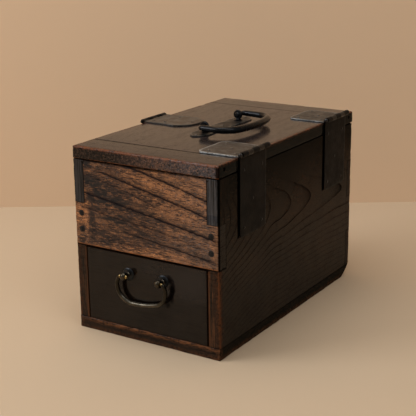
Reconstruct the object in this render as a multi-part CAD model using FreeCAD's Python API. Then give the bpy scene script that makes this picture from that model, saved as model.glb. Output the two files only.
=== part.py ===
import FreeCAD, Part
import os
from math import asin, atan2, cos, degrees, pi, radians, sin, sqrt

Vec = FreeCAD.Vector

# A writing box with a drawer in one end, a lid hung on two strap hinges along its right side,
# a hasp on its left side, a carrying bail on its lid and a sliding tray inside.
# The origin is the centre of the base's underside, the drawer end is at -Y, the hinges are at +X.
# All sizes are in millimetres.

# Closed box
width = 205.0
depth = 347.0
height = 232.0

# Boards
side_wall = 15.5
front_wall = 15.0
back_wall = 15.0
floor_wall = 15.0
lid_wall = 16.0
shelf_wall = 10.0
arris = 1.2
lid_seam = 0.4
cut_over = 2.0
match_share = 0.01

# Drawer opening, and the lower half of the front panel, whose tongues run out over the side boards
opening_height = 94.4
front_tongue = 53.6
shelf_housing = 5.0
rear_fingers = 4

# Wear that rounds the rear edge of the base
relief_length = 25.0
relief_height = 18.0
relief_bulge_share = 0.07

# Wooden pegs of the corner joints
peg_radius = 3.2
peg_length = 27.0
peg_inset = 10.2
peg_end_margin = 13.5
front_peg_spacing = 20.0
peg_fit = 0.05

# Lid with a tongued cleat across each end
cleat_width = 40.0
cleat_tongue = 10.0
cleat_tongue_thickness = 5.4
lid_setback = 0.4
plug_radius = 2.4
plug_length = 18.0
plug_inset = 26.7
plug_drop = 6.5

# Strap hinges on the right side
hinge_width = 61.2
hinge_front_inset = 73.2
hinge_rear_inset = 59.0
front_side_leaf = 95.0
rear_side_leaf = 91.0
front_lid_leaf = 56.7
rear_lid_leaf = 53.0
leaf_thickness = 1.6
barrel_radius = 3.4
hinge_knuckles = 5
knuckle_gap = 0.3
pin_radius = 1.7
pin_fit = 0.05
pin_head_radius = 3.2
pin_head_height = 2.6
pin_overhang = 0.3
leaf_notch = 0.6
side_leaf_corner = 6.0
lid_leaf_chamfer_along = 5.0
lid_leaf_chamfer_across = 7.0

# Hasp on the left side
hasp_axis_rise = 0.8
hasp_barrel_radius = 3.0
hasp_thickness = 1.8
hasp_stand_off = 0.4
hasp_width = 50.0
hasp_knuckles = 5
hasp_leaf_half = 26.0
hasp_leaf_flare = 28.0
hasp_leaf_straight = 30.0
hasp_leaf_shoulder = 46.0
hasp_leaf_reach = 68.0
strap_end_radius = 10.0
strap_slot_width = 4.6
strap_slot_length = 17.0
staple_drop = 42.0
staple_wire = 1.6
staple_spread = 5.0
staple_reach = 12.0
staple_depth = 11.0
staple_fit = 0.05

# Bail handle on the lid
lid_plate_half = 67.0
lid_plate_straight = 50.0
lid_plate_width = 25.0
lid_plate_thickness = 1.6
lid_plate_bulge_shares = (0.68, 0.64)
lid_post_spacing = 80.8
lid_eye_rise = 9.0
lid_eye_radius = 6.2
lid_eye_width = 4.0
lid_eye_chamfer = 1.0
lid_post_neck = 3.0
lid_post_foot_radius = 6.4
lid_post_foot = 1.6
lid_post_tang = 2.5
lid_post_depth = 12.0
lid_bail_pin = 2.4
lid_bail_half = 52.5
lid_bail_reach = 50.3
lid_bail_middle = 4.5
lid_bail_elbow = 5.0
lid_bail_corner = 24.0
lid_bail_crown = 14.7
lid_bail_tilt = 0.8

# Bail handle on the drawer
drawer_post_spacing = 50.0
drawer_eye_drop = 25.9
drawer_eye_rise = 9.4
drawer_eye_radius = 5.0
drawer_eye_half = 3.0
drawer_post_neck = 2.4
drawer_post_tang = 1.8
drawer_post_depth = 12.0
drawer_rose_radius = 8.0
drawer_rose_height = 1.8
drawer_bail_pin = 1.9
drawer_bail_half = 35.2
drawer_bail_drop = 34.0
drawer_bail_middle = 2.8
drawer_bail_elbow = 3.4
drawer_bail_corner = 20.0
drawer_bail_crown = 10.4
drawer_bail_lean = 8.0
drawer_bail_skew = 8.0
eye_fit = 0.06
tang_fit = 0.05
pin_tip_gap = 0.4
pin_tip_length = 1.6
pin_tip_share = 1.45
bail_swell_power = 1.8

# Drawer
drawer_gap = 0.5
drawer_top_gap = 0.6
drawer_floor_gap = 0.3
drawer_front_wall = 14.0
drawer_side_wall = 9.0
drawer_back_wall = 9.0
drawer_bottom_wall = 7.0
drawer_lap = 8.0
drawer_side_drop = 5.0
drawer_peg_radius = 1.6
drawer_peg_length = 16.0
drawer_arris = 0.8

# Sliding tray and the battens that carry it
ledge_width = 8.0
ledge_height = 8.0
tray_length = 190.0
tray_height = 38.0
tray_headroom = 9.3
tray_gap = 0.5
tray_floor_gap = 0.3
tray_wall = 8.0
tray_bottom_wall = 6.0
tray_divider_wall = 5.0
tray_divider_drop = 8.0
tray_brush_width = 46.0
tray_grip_width = 50.0
tray_grip_depth = 9.0
tray_cross_place_share = 0.62

# The bails' bars change direction in steps of about this angle
bend_step = pi / 10

body_top = height - lid_wall - lid_seam
opening_top = floor_wall + opening_height
split_level = opening_top + front_tongue
front_face = -depth / 2
rear_face = depth / 2
right_face = width / 2
inner_half = right_face - side_wall
inner_front = front_face + front_wall
inner_back = rear_face - back_wall
hinge_x = right_face + barrel_radius
hinge_z = height + barrel_radius
hasp_x = -right_face - hasp_stand_off - hasp_barrel_radius
hasp_z = height + hasp_axis_rise
lid_eye_z = height + lid_eye_rise
drawer_eye_y = front_face - drawer_eye_rise
drawer_eye_height = opening_top - drawer_eye_drop
ledge_level = body_top - tray_headroom - tray_height - tray_floor_gap

hinges = {
    "front": (front_face + hinge_front_inset, front_side_leaf, front_lid_leaf),
    "rear": (rear_face - hinge_rear_inset, rear_side_leaf, rear_lid_leaf),
}


def block(x0, x1, y0, y1, z0, z1):
    return Part.makeBox(x1 - x0, y1 - y0, z1 - z0, Vec(x0, y0, z0))


def rod(radius, start, direction, length):
    return Part.makeCylinder(radius, length, start, direction)


def soften(shape, radius, wanted):
    """Round the edges whose middle the wanted test accepts."""
    edges = [edge for edge in shape.Edges if wanted(edge.CenterOfMass)]
    return shape.makeFillet(radius, edges)


def near(a, b):
    return abs(a - b) < arris * match_share


def outline_face(curves):
    return Part.Face(Part.Wire([curve.toShape() for curve in curves]))


def join(shapes):
    joined = shapes[0].fuse(shapes[1:]) if len(shapes) > 1 else shapes[0]
    return joined.removeSplitter()


def rear_relief():
    """The rounding worn along the rear edge of the base, as a solid to cut away."""
    start = Vec(0, rear_face - relief_length, 0)
    end = Vec(0, rear_face, relief_height)
    chord = end - start
    outward = Vec(0, relief_height, -relief_length) * relief_bulge_share
    middle = start + chord * 0.5 + outward
    over_end = Vec(0, rear_face + cut_over, relief_height)
    over_low = Vec(0, rear_face + cut_over, -cut_over)
    over_start = Vec(0, rear_face - relief_length, -cut_over)
    face = outline_face([
        Part.Arc(start, middle, end),
        Part.LineSegment(end, over_end),
        Part.LineSegment(over_end, over_low),
        Part.LineSegment(over_low, over_start),
        Part.LineSegment(over_start, start),
    ])
    solid = face.extrude(Vec(width + 2 * cut_over, 0, 0))
    solid.translate(Vec(-right_face - cut_over, 0, 0))
    return solid


def rear_finger_levels():
    """Bottom and top of each rear finger, from the base up."""
    pitch = (body_top - floor_wall) / rear_fingers
    return [(floor_wall + i * pitch, floor_wall + (i + 1) * pitch) for i in range(rear_fingers)]


def front_peg_levels():
    upper = split_level - peg_end_margin
    return [upper, upper - front_peg_spacing]


def peg_rods(radius, y, direction, levels):
    """Pegs driven square into both corners of one end, at the given heights."""
    rods = []
    for side in (-1, 1):
        for level in levels:
            rods.append(rod(radius, Vec(side * (right_face - peg_inset), y, level), direction, peg_length))
    return rods


def front_pegs(radius):
    return peg_rods(radius, front_face, Vec(0, 1, 0), front_peg_levels())


def rear_pegs(radius):
    levels = [(low + high) / 2 for low, high in rear_finger_levels()[::2]]
    return peg_rods(radius, rear_face, Vec(0, -1, 0), levels)


def bottom_board():
    board = block(-right_face, right_face, front_face, rear_face, 0, floor_wall)
    board = soften(board, arris,
                   lambda p: near(p.z, 0) and (near(p.y, front_face) or near(abs(p.x), right_face)))
    return board.cut(rear_relief())


def side_board(side):
    """A side board: its front end shows beside the drawer and beside the panel's upper half."""
    outer = side * right_face
    inner = side * inner_half
    x0 = min(outer, inner)
    x1 = max(outer, inner)
    board = block(x0, x1, front_face, rear_face, floor_wall, body_top)
    board = soften(board, arris,
                   lambda p: near(p.x, outer) and (near(abs(p.y), rear_face) or near(p.z, body_top)))
    cuts = [block(x0 - cut_over, x1 + cut_over, front_face - cut_over, inner_front, opening_top, split_level)]
    for low, high in rear_finger_levels()[::2]:
        cuts.append(block(x0 - cut_over, x1 + cut_over, inner_back, rear_face + cut_over, low, high))
    shelf_end = side * (inner_half + shelf_housing)
    cuts.append(block(min(inner, shelf_end), max(inner, shelf_end), inner_front, inner_back,
                      opening_top, opening_top + shelf_wall))
    cuts.append(rear_relief())
    return board.cut(cuts)


def left_side_board():
    holes = front_pegs(peg_radius + peg_fit) + rear_pegs(peg_radius + peg_fit)
    return side_board(-1).cut(holes + [staple_wires(staple_wire + staple_fit)])


def right_side_board():
    return side_board(1).cut(front_pegs(peg_radius + peg_fit) + rear_pegs(peg_radius + peg_fit))


def front_panel():
    """The panel over the drawer: its lower half covers the side boards' ends."""
    lower = block(-right_face, right_face, front_face, inner_front, opening_top, split_level)
    lower = soften(lower, arris, lambda p: near(abs(p.x), right_face) and near(p.y, front_face))
    upper = block(-inner_half, inner_half, front_face, inner_front, split_level, body_top)
    return join([lower, upper]).cut(front_pegs(peg_radius + peg_fit))


def back_panel():
    pieces = [block(-inner_half, inner_half, inner_back, rear_face, floor_wall, body_top)]
    for low, high in rear_finger_levels()[::2]:
        finger = block(-right_face, right_face, inner_back, rear_face, low, high)
        pieces.append(soften(finger, arris, lambda p: near(abs(p.x), right_face) and near(p.y, rear_face)))
    return join(pieces).cut(rear_pegs(peg_radius + peg_fit) + [rear_relief()])


def drawer_shelf():
    half = inner_half + shelf_housing
    return block(-half, half, inner_front, inner_back, opening_top, opening_top + shelf_wall)


def tray_ledge(side):
    x0 = min(side * inner_half, side * (inner_half - ledge_width))
    return block(x0, x0 + ledge_width, inner_front, inner_back, ledge_level - ledge_height, ledge_level)


def lid_tongue(side, shrink):
    """The tongue that the lid's main board pushes into a cleat."""
    shoulder = side * (rear_face - cleat_width)
    end = side * (rear_face - cleat_width + cleat_tongue)
    middle = height - lid_wall / 2
    half = cleat_tongue_thickness / 2
    return block(-right_face + shrink, right_face - lid_setback - shrink,
                 min(shoulder, end), max(shoulder, end), middle - half, middle + half)


def lid_board(y0, y1):
    return block(-right_face, right_face - lid_setback, y0, y1, height - lid_wall, height)


def on_lid_sides(p):
    return near(p.x, -right_face) or near(p.x, right_face - lid_setback)


def lid_panel():
    reach = rear_face - cleat_width
    board = lid_board(-reach, reach)
    board = soften(board, arris,
                   lambda p: on_lid_sides(p) and (near(p.z, height) or near(p.z, height - lid_wall)))
    board = join([board, lid_tongue(-1, arris), lid_tongue(1, arris)])
    return board.cut(lid_tangs(lid_post_tang + tang_fit))


def lid_cleat(side):
    inner = side * (rear_face - cleat_width)
    outer = side * rear_face
    cleat = lid_board(min(inner, outer), max(inner, outer))

    def rounded(p):
        level = near(p.z, height) or near(p.z, height - lid_wall)
        return (near(p.y, outer) or on_lid_sides(p)) and (level or (near(p.y, outer) and on_lid_sides(p)))

    cleat = soften(cleat, arris, rounded)
    return cleat.cut([lid_tongue(side, arris)] + cleat_plugs(side, plug_radius + peg_fit))


def cleat_plugs(side, radius):
    """A plugged peg in both ends of a cleat."""
    y = side * (rear_face - plug_inset)
    z = height - plug_drop
    left = rod(radius, Vec(-right_face, y, z), Vec(1, 0, 0), plug_length)
    right = rod(radius, Vec(right_face - lid_setback, y, z), Vec(-1, 0, 0), plug_length)
    return [left, right]


def knuckle_rows(total, count, taken):
    """The stretches of a hinge barrel that one leaf holds, centred on zero."""
    pitch = total / count
    rows = []
    for i in taken:
        low = -total / 2 + i * pitch + (knuckle_gap / 2 if i else 0)
        high = -total / 2 + (i + 1) * pitch - (knuckle_gap / 2 if i < count - 1 else 0)
        rows.append((low, high))
    return rows


def strap_leaf(length, rows):
    """A hinge leaf beside its axis on Y: the plate lies tangent to the barrel's underside, towards -X."""
    low = -barrel_radius
    high = low + leaf_thickness
    edge = -barrel_radius - leaf_notch
    plate = block(-barrel_radius - length, edge, -hinge_width / 2, hinge_width / 2, low, high)
    pieces = [plate]
    for y0, y1 in rows:
        pieces.append(block(edge, 0, y0, y1, low, high))
        pieces.append(rod(barrel_radius, Vec(0, y0, 0), Vec(0, 1, 0), y1 - y0))
    leaf = join(pieces)
    return leaf.cut(rod(pin_radius + pin_fit, Vec(0, -hinge_width, 0), Vec(0, 1, 0), 2 * hinge_width))


def at_far_corner(p, length):
    return near(p.x, -barrel_radius - length) and near(abs(p.y), hinge_width / 2)


def hinge_side_leaf(name):
    """The leaf down the side board, turned so that it hangs from the barrel's inner side."""
    centre_y, length, _ = hinges[name]
    leaf = strap_leaf(length, knuckle_rows(hinge_width, hinge_knuckles, range(0, hinge_knuckles, 2)))
    leaf = soften(leaf, side_leaf_corner, lambda p: at_far_corner(p, length))
    leaf.rotate(Vec(0, 0, 0), Vec(1, 0, 1), 180)
    leaf.translate(Vec(hinge_x, centre_y, hinge_z))
    return leaf


def hinge_lid_leaf(name):
    centre_y, _, length = hinges[name]
    leaf = strap_leaf(length, knuckle_rows(hinge_width, hinge_knuckles, range(1, hinge_knuckles, 2)))
    corners = []
    for side in (-1, 1):
        tip = Vec(-barrel_radius - length, side * hinge_width / 2, -barrel_radius)
        along = tip + Vec(lid_leaf_chamfer_along, 0, 0)
        across = tip - Vec(0, side * lid_leaf_chamfer_across, 0)
        wire = Part.makePolygon([tip, along, across, tip])
        corners.append(Part.Face(wire).extrude(Vec(0, 0, leaf_thickness)))
    leaf = leaf.cut(corners)
    leaf.translate(Vec(hinge_x, centre_y, hinge_z))
    return leaf


def dome(radius, rise, base, direction):
    """A low round head: the cap of a ball, flat at its base."""
    ball = (radius ** 2 + rise ** 2) / (2 * rise)
    cut_angle = degrees(asin((ball - rise) / ball))
    return Part.makeSphere(ball, base - direction * (ball - rise), direction, cut_angle, 90, 360)


def peened_pin(length, x, y, z):
    """A hinge pin centred on the point, along Y, with both ends hammered over to low cones."""
    half = length / 2 + pin_overhang
    pieces = [rod(pin_radius, Vec(x, y - half, z), Vec(0, 1, 0), 2 * half)]
    for side in (-1, 1):
        base = Vec(x, y + side * half, z)
        pieces.append(Part.makeCone(pin_head_radius, pin_radius, pin_head_height, base, Vec(0, side, 0)))
    return join(pieces)


def hinge_pin(name):
    return peened_pin(hinge_width, hinge_x, hinges[name][0], hinge_z)


def hasp_pin():
    return peened_pin(hasp_width, hasp_x, 0, hasp_z)


def hasp_bore():
    return rod(pin_radius + pin_fit, Vec(hasp_x, -hasp_width, hasp_z), Vec(0, 1, 0), 2 * hasp_width)


def hasp_lid_leaf():
    """The hasp's top leaf: straight at the lid's edge, a little flared, and round at its end."""
    edge = -right_face + leaf_notch
    straight = -right_face + hasp_leaf_straight
    shoulder = -right_face + hasp_leaf_shoulder
    tip = -right_face + hasp_leaf_reach
    start = [Vec(edge, -hasp_leaf_half, height), Vec(edge, hasp_leaf_half, height)]
    turn = [Vec(straight, -hasp_leaf_half, height), Vec(straight, hasp_leaf_half, height)]
    flare = [Vec(shoulder, -hasp_leaf_flare, height), Vec(shoulder, hasp_leaf_flare, height)]
    face = outline_face([
        Part.LineSegment(start[1], start[0]),
        Part.LineSegment(start[0], turn[0]),
        Part.LineSegment(turn[0], flare[0]),
        Part.Arc(flare[0], Vec(tip, 0, height), flare[1]),
        Part.LineSegment(flare[1], turn[1]),
        Part.LineSegment(turn[1], start[1]),
    ])
    pieces = [face.extrude(Vec(0, 0, hasp_thickness))]
    for y0, y1 in knuckle_rows(hasp_width, hasp_knuckles, range(0, hasp_knuckles, 2)):
        pieces.append(block(hasp_x, edge, y0, y1, height, height + hasp_thickness))
        pieces.append(rod(hasp_barrel_radius, Vec(hasp_x, y0, hasp_z), Vec(0, 1, 0), y1 - y0))
    return join(pieces).cut(hasp_bore())


def hasp_strap():
    """The hanging strap: full width at its knuckles, tapered to a round end with a slot for the staple."""
    rows = knuckle_rows(hasp_width, hasp_knuckles, range(1, hasp_knuckles, 2))
    half = rows[-1][1]
    inner = hasp_x + hasp_barrel_radius
    outer = inner - hasp_thickness
    top = hasp_z - hasp_barrel_radius - leaf_notch
    slot_z = hasp_z - staple_drop
    end_z = slot_z - strap_slot_length / 2 + strap_slot_width / 2
    waist_z = end_z + strap_end_radius
    face = outline_face([
        Part.LineSegment(Vec(outer, -half, top), Vec(outer, half, top)),
        Part.LineSegment(Vec(outer, half, top), Vec(outer, strap_end_radius, waist_z)),
        Part.LineSegment(Vec(outer, strap_end_radius, waist_z), Vec(outer, strap_end_radius, end_z)),
        Part.Arc(Vec(outer, strap_end_radius, end_z), Vec(outer, 0, end_z - strap_end_radius),
                 Vec(outer, -strap_end_radius, end_z)),
        Part.LineSegment(Vec(outer, -strap_end_radius, end_z), Vec(outer, -strap_end_radius, waist_z)),
        Part.LineSegment(Vec(outer, -strap_end_radius, waist_z), Vec(outer, -half, top)),
    ])
    pieces = [face.extrude(Vec(hasp_thickness, 0, 0))]
    for y0, y1 in rows:
        pieces.append(block(outer, inner, y0, y1, top, hasp_z))
        pieces.append(rod(hasp_barrel_radius, Vec(hasp_x, y0, hasp_z), Vec(0, 1, 0), y1 - y0))
    strap = join(pieces)
    slot_half = strap_slot_length / 2 - strap_slot_width / 2
    slot = [block(outer - cut_over, inner + cut_over, -strap_slot_width / 2, strap_slot_width / 2,
                  slot_z - slot_half, slot_z + slot_half)]
    for end in (-slot_half, slot_half):
        start = Vec(outer - cut_over, 0, slot_z + end)
        slot.append(rod(strap_slot_width / 2, start, Vec(1, 0, 0), hasp_thickness + 2 * cut_over))
    return strap.cut(slot + [hasp_bore()])


def staple_wires(radius):
    """A wire bent to a U, its legs one above the other, driven into the left side board."""
    level = hasp_z - staple_drop
    bend = -right_face - staple_reach + staple_spread + staple_wire
    inner = -right_face + staple_depth
    legs = []
    for side in (-1, 1):
        start = Vec(bend, 0, level + side * staple_spread)
        legs.append(rod(radius, start, Vec(1, 0, 0), inner - bend))
    loop = Part.makeTorus(staple_spread, radius, Vec(0, 0, 0), Vec(0, 0, 1), 0, 360, 180)
    loop.rotate(Vec(0, 0, 0), Vec(1, 0, 0), 90)
    loop.rotate(Vec(0, 0, 0), Vec(0, 1, 0), -90)
    loop.translate(Vec(bend, 0, level))
    return join([loop] + legs)


def lid_handle_plate():
    """A long plate under both posts, with ends drawn to a point."""
    half = lid_plate_width / 2
    across_share, along_share = lid_plate_bulge_shares
    bulge_x = half * across_share
    bulge_y = lid_plate_straight + (lid_plate_half - lid_plate_straight) * along_share
    curves = []
    for side in (1, -1):
        start = Vec(side * half, side * lid_plate_straight, height)
        tip = Vec(0, side * lid_plate_half, height)
        end = Vec(-side * half, side * lid_plate_straight, height)
        curves.append(Part.Arc(start, Vec(side * bulge_x, side * bulge_y, height), tip))
        curves.append(Part.Arc(tip, Vec(-side * bulge_x, side * bulge_y, height), end))
        curves.append(Part.LineSegment(end, Vec(-side * half, -side * lid_plate_straight, height)))
    plate = outline_face(curves).extrude(Vec(0, 0, lid_plate_thickness))
    return plate.cut(lid_tangs(lid_post_tang + tang_fit))


def lid_tangs(radius):
    """The posts' tangs, through the plate into the lid."""
    tangs = []
    for side in (-1, 1):
        foot = Vec(0, side * lid_post_spacing / 2, height - lid_post_depth)
        tangs.append(rod(radius, foot, Vec(0, 0, 1), lid_post_depth + lid_plate_thickness))
    return tangs


def lid_handle_post(side):
    """A post with a ring for the bail's pin, its rims filed down, on a neck with a flared foot."""
    y = side * lid_post_spacing / 2
    base = height + lid_plate_thickness
    face = y - lid_eye_width / 2
    neck = lid_eye_rise - lid_plate_thickness - (lid_eye_radius + lid_bail_pin) / 2
    ring = rod(lid_eye_radius, Vec(0, face, lid_eye_z), Vec(0, 1, 0), lid_eye_width)
    rims = [edge for edge in ring.Edges if near(abs(edge.CenterOfMass.y - y), lid_eye_width / 2)]
    pieces = [
        ring.makeChamfer(lid_eye_chamfer, rims),
        Part.makeCone(lid_post_foot_radius, lid_post_neck, lid_post_foot, Vec(0, y, base), Vec(0, 0, 1)),
        rod(lid_post_neck, Vec(0, y, base), Vec(0, 0, 1), neck),
        lid_tangs(lid_post_tang)[0 if side < 0 else 1],
    ]
    hole = rod(lid_bail_pin + eye_fit, Vec(0, face, lid_eye_z), Vec(0, 1, 0), lid_eye_width)
    return join(pieces).cut(hole)


def crown_radius(half, corner, crown):
    """Radius of a bail's middle stretch, which meets its corners at the crown angle."""
    return corner + (half - corner) / sin(crown)


def corner_depth(half, reach, corner, crown):
    """How far from the pins' line the centres of a bail's corners lie."""
    radius = crown_radius(half, corner, crown)
    return reach - radius + (radius - corner) * cos(crown)


def stations(start, heading, runs):
    """Places and headings along straight runs (length, 0) and bends (radius, angle) in the XY plane."""
    place = start
    found = [(place, heading)]
    for size, angle in runs:
        steps = 1 if angle == 0 else max(1, round(angle / bend_step))
        for _ in range(steps):
            turn = angle / steps
            length = size if angle == 0 else 2 * size * sin(turn / 2)
            middle = heading + turn / 2
            place = place + Vec(cos(middle), sin(middle), 0) * length
            heading += turn
            found.append((place, heading))
    return found


def bail_bar(start, heading, runs, thin, thick):
    """A round bar through the runs, thickest in its middle."""
    places = stations(start, heading, runs)
    rings = []
    for i, (place, way) in enumerate(places):
        swell = 1 - abs(2 * i / (len(places) - 1) - 1) ** bail_swell_power
        radius = thin + (thick - thin) * swell
        rings.append(Part.Wire([Part.Circle(place, Vec(cos(way), sin(way), 0), radius).toShape()]))
    return Part.makeLoft(rings, True, True)


def bail_pin(radius, outer, inner):
    """A bail's pin along X, from its elbow inwards through the eye to a peened tip."""
    way = Vec(-1 if outer > 0 else 1, 0, 0)
    shank = rod(radius, Vec(outer, 0, 0), way, abs(outer - inner))
    tip = Part.makeCone(radius * pin_tip_share, radius, pin_tip_length, Vec(inner, 0, 0), way)
    return [shank, tip]


def lid_handle_bail():
    """The carrying bail, lying over to the hinge side and a little below level."""
    crown = radians(lid_bail_crown)
    radius = crown_radius(lid_bail_half, lid_bail_corner, crown)
    arm = corner_depth(lid_bail_half, lid_bail_reach, lid_bail_corner, crown) - lid_bail_elbow
    runs = [(lid_bail_elbow, pi / 2), (arm, 0), (lid_bail_corner, pi / 2 - crown), (radius, 2 * crown)]
    runs += [(lid_bail_corner, pi / 2 - crown), (arm, 0), (lid_bail_elbow, pi / 2)]
    elbow = lid_bail_half - lid_bail_elbow
    inner = (lid_post_spacing - lid_eye_width) / 2 - pin_tip_gap
    pieces = [bail_bar(Vec(-elbow, 0, 0), pi, runs, lid_bail_pin, lid_bail_middle)]
    for side in (-1, 1):
        pieces += bail_pin(lid_bail_pin, side * elbow, side * inner)
    bail = join(pieces)
    bail.rotate(Vec(0, 0, 0), Vec(0, 0, 1), 90)
    bail.rotate(Vec(0, 0, 0), Vec(0, 1, 0), lid_bail_tilt)
    bail.translate(Vec(0, 0, lid_eye_z))
    return bail


def drawer_front():
    x = inner_half - drawer_gap
    z0 = floor_wall + drawer_floor_gap
    z1 = opening_top - drawer_top_gap
    board = block(-x, x, front_face, front_face + drawer_front_wall, z0, z1)
    board = soften(board, drawer_arris, lambda p: near(p.y, front_face))
    laps = []
    for side in (-1, 1):
        laps.append(drawer_side_block(side, z0, z1 - drawer_side_drop))
    cuts = laps + drawer_pegs(drawer_peg_radius + peg_fit) + drawer_tangs(drawer_post_tang + tang_fit)
    return board.cut(cuts)


def drawer_side_block(side, z0, z1):
    outer = side * (inner_half - drawer_gap)
    inner = outer - side * drawer_side_wall
    y0 = front_face + drawer_front_wall - drawer_lap
    return block(min(outer, inner), max(outer, inner), y0, drawer_end(), z0, z1)


def drawer_end():
    return inner_back - drawer_floor_gap


def drawer_floor_top():
    return floor_wall + drawer_floor_gap + drawer_bottom_wall


def drawer_side(side):
    z1 = opening_top - drawer_top_gap - drawer_side_drop
    lapped = drawer_side_block(side, floor_wall + drawer_floor_gap, z1)
    floor_cut = drawer_bottom()
    return lapped.cut([floor_cut] + drawer_pegs(drawer_peg_radius + peg_fit))


def drawer_back():
    x = inner_half - drawer_gap - drawer_side_wall
    z1 = opening_top - drawer_top_gap - drawer_side_drop
    return block(-x, x, drawer_end() - drawer_back_wall, drawer_end(), drawer_floor_top(), z1)


def drawer_bottom():
    """The bottom lies under the sides and butts against the front."""
    x = inner_half - drawer_gap
    y0 = front_face + drawer_front_wall
    return block(-x, x, y0, drawer_end(), floor_wall + drawer_floor_gap, drawer_floor_top())


def drawer_pegs(radius):
    """Pegs through each drawer side into the end of the front."""
    outer = inner_half - drawer_gap
    y = front_face + drawer_front_wall - drawer_lap / 2
    low = drawer_floor_top() + peg_end_margin
    high = opening_top - drawer_top_gap - drawer_side_drop - peg_end_margin
    pegs = []
    for side in (-1, 1):
        for level in (low, high):
            pegs.append(rod(radius, Vec(side * outer, y, level), Vec(-side, 0, 0), drawer_peg_length))
    return pegs


def drawer_tangs(radius):
    tangs = []
    for side in (-1, 1):
        start = Vec(side * drawer_post_spacing / 2, front_face - drawer_rose_height, drawer_eye_height)
        tangs.append(rod(radius, start, Vec(0, 1, 0), drawer_rose_height + drawer_post_depth))
    return tangs


def drawer_handle_rose(side):
    """A low domed disc behind a post."""
    base = Vec(side * drawer_post_spacing / 2, front_face, drawer_eye_height)
    disc = dome(drawer_rose_radius, drawer_rose_height, base, Vec(0, -1, 0))
    return disc.cut(drawer_tangs(drawer_post_tang + tang_fit))


def drawer_handle_post(side):
    """A post with a ball head, flattened at both ends of the hole for the bail's pin."""
    x = side * drawer_post_spacing / 2
    hole = drawer_bail_pin + eye_fit
    base = front_face - drawer_rose_height
    ball = Part.makeSphere(drawer_eye_radius, Vec(x, drawer_eye_y, drawer_eye_height))
    slab = block(x - drawer_eye_half, x + drawer_eye_half, drawer_eye_y - drawer_eye_radius, base,
                 drawer_eye_height - drawer_eye_radius, drawer_eye_height + drawer_eye_radius)
    pieces = [
        ball.common(slab),
        rod(drawer_post_neck, Vec(x, base, drawer_eye_height), Vec(0, -1, 0), base - drawer_eye_y),
        drawer_tangs(drawer_post_tang)[0 if side < 0 else 1],
    ]
    start = Vec(x - drawer_eye_radius, drawer_eye_y, drawer_eye_height)
    return join(pieces).cut(rod(hole, start, Vec(1, 0, 0), 2 * drawer_eye_radius))


def drawer_handle_bail():
    """The drawer's bail: its arms bulge past the posts, it hangs askew and leans in at the bottom."""
    crown = radians(drawer_bail_crown)
    skew = radians(drawer_bail_skew)
    radius = crown_radius(drawer_bail_half, drawer_bail_corner, crown)
    across = drawer_bail_half - drawer_bail_corner
    depth = corner_depth(drawer_bail_half, drawer_bail_drop, drawer_bail_corner, crown)
    bend = drawer_bail_corner - drawer_bail_elbow
    arms = []
    for side in (-1, 1):
        centre = across * cos(skew) - side * depth * sin(skew)
        drop = depth * cos(skew) - side * across * sin(skew)
        out = sqrt(bend ** 2 - (drop - drawer_bail_elbow) ** 2)
        first = atan2(out, drop - drawer_bail_elbow)
        arms.append((centre + out, first, pi - crown - side * skew - first))
    (left, left_elbow, left_corner), (right, right_elbow, right_corner) = arms
    runs = [(drawer_bail_elbow, left_elbow), (drawer_bail_corner, left_corner), (radius, 2 * crown),
            (drawer_bail_corner, right_corner), (drawer_bail_elbow, right_elbow)]
    pieces = [bail_bar(Vec(-left, 0, 0), pi, runs, drawer_bail_pin, drawer_bail_middle)]
    inner = drawer_post_spacing / 2 - drawer_eye_half - pin_tip_gap
    pieces += bail_pin(drawer_bail_pin, -left, -inner) + bail_pin(drawer_bail_pin, right, inner)
    bail = join(pieces)
    bail.rotate(Vec(0, 0, 0), Vec(1, 0, 0), 90 + drawer_bail_lean)
    bail.translate(Vec(0, drawer_eye_y, drawer_eye_height))
    return bail


def tray_frame():
    """Outer faces of the tray at rest, pushed to the drawer end."""
    x = inner_half - tray_gap
    y0 = inner_front + tray_gap
    z0 = ledge_level + tray_floor_gap
    return x, y0, y0 + tray_length, z0, z0 + tray_height


def tray_end(side):
    """An end of the tray, with a scooped finger grip in its top edge."""
    x, y0, y1, z0, z1 = tray_frame()
    low = y0 if side < 0 else y1 - tray_wall
    board = block(-x, x, low, low + tray_wall, z0, z1)
    half = tray_grip_width / 2
    start = Vec(-half, low - cut_over, z1)
    middle = Vec(0, low - cut_over, z1 - tray_grip_depth)
    end = Vec(half, low - cut_over, z1)
    scoop = outline_face([Part.Arc(start, middle, end), Part.LineSegment(end, start)])
    return board.cut(scoop.extrude(Vec(0, tray_wall + 2 * cut_over, 0)))


def tray_side(side):
    x, y0, y1, z0, z1 = tray_frame()
    outer = side * x
    inner = side * (x - tray_wall)
    return block(min(outer, inner), max(outer, inner), y0 + tray_wall, y1 - tray_wall, z0, z1)


def tray_bottom():
    x, y0, y1, z0, _ = tray_frame()
    half = x - tray_wall
    return block(-half, half, y0 + tray_wall, y1 - tray_wall, z0, z0 + tray_bottom_wall)


def tray_long_divider():
    """The partition that parts the brush channel from the rest of the tray."""
    x, y0, y1, z0, z1 = tray_frame()
    left = -x + tray_wall + tray_brush_width
    return block(left, left + tray_divider_wall, y0 + tray_wall, y1 - tray_wall,
                 z0 + tray_bottom_wall, z1 - tray_divider_drop)


def tray_cross_divider():
    x, y0, y1, z0, z1 = tray_frame()
    left = -x + tray_wall + tray_brush_width + tray_divider_wall
    y = y0 + tray_length * tray_cross_place_share
    return block(left, x - tray_wall, y, y + tray_divider_wall, z0 + tray_bottom_wall, z1 - tray_divider_drop)


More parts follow.
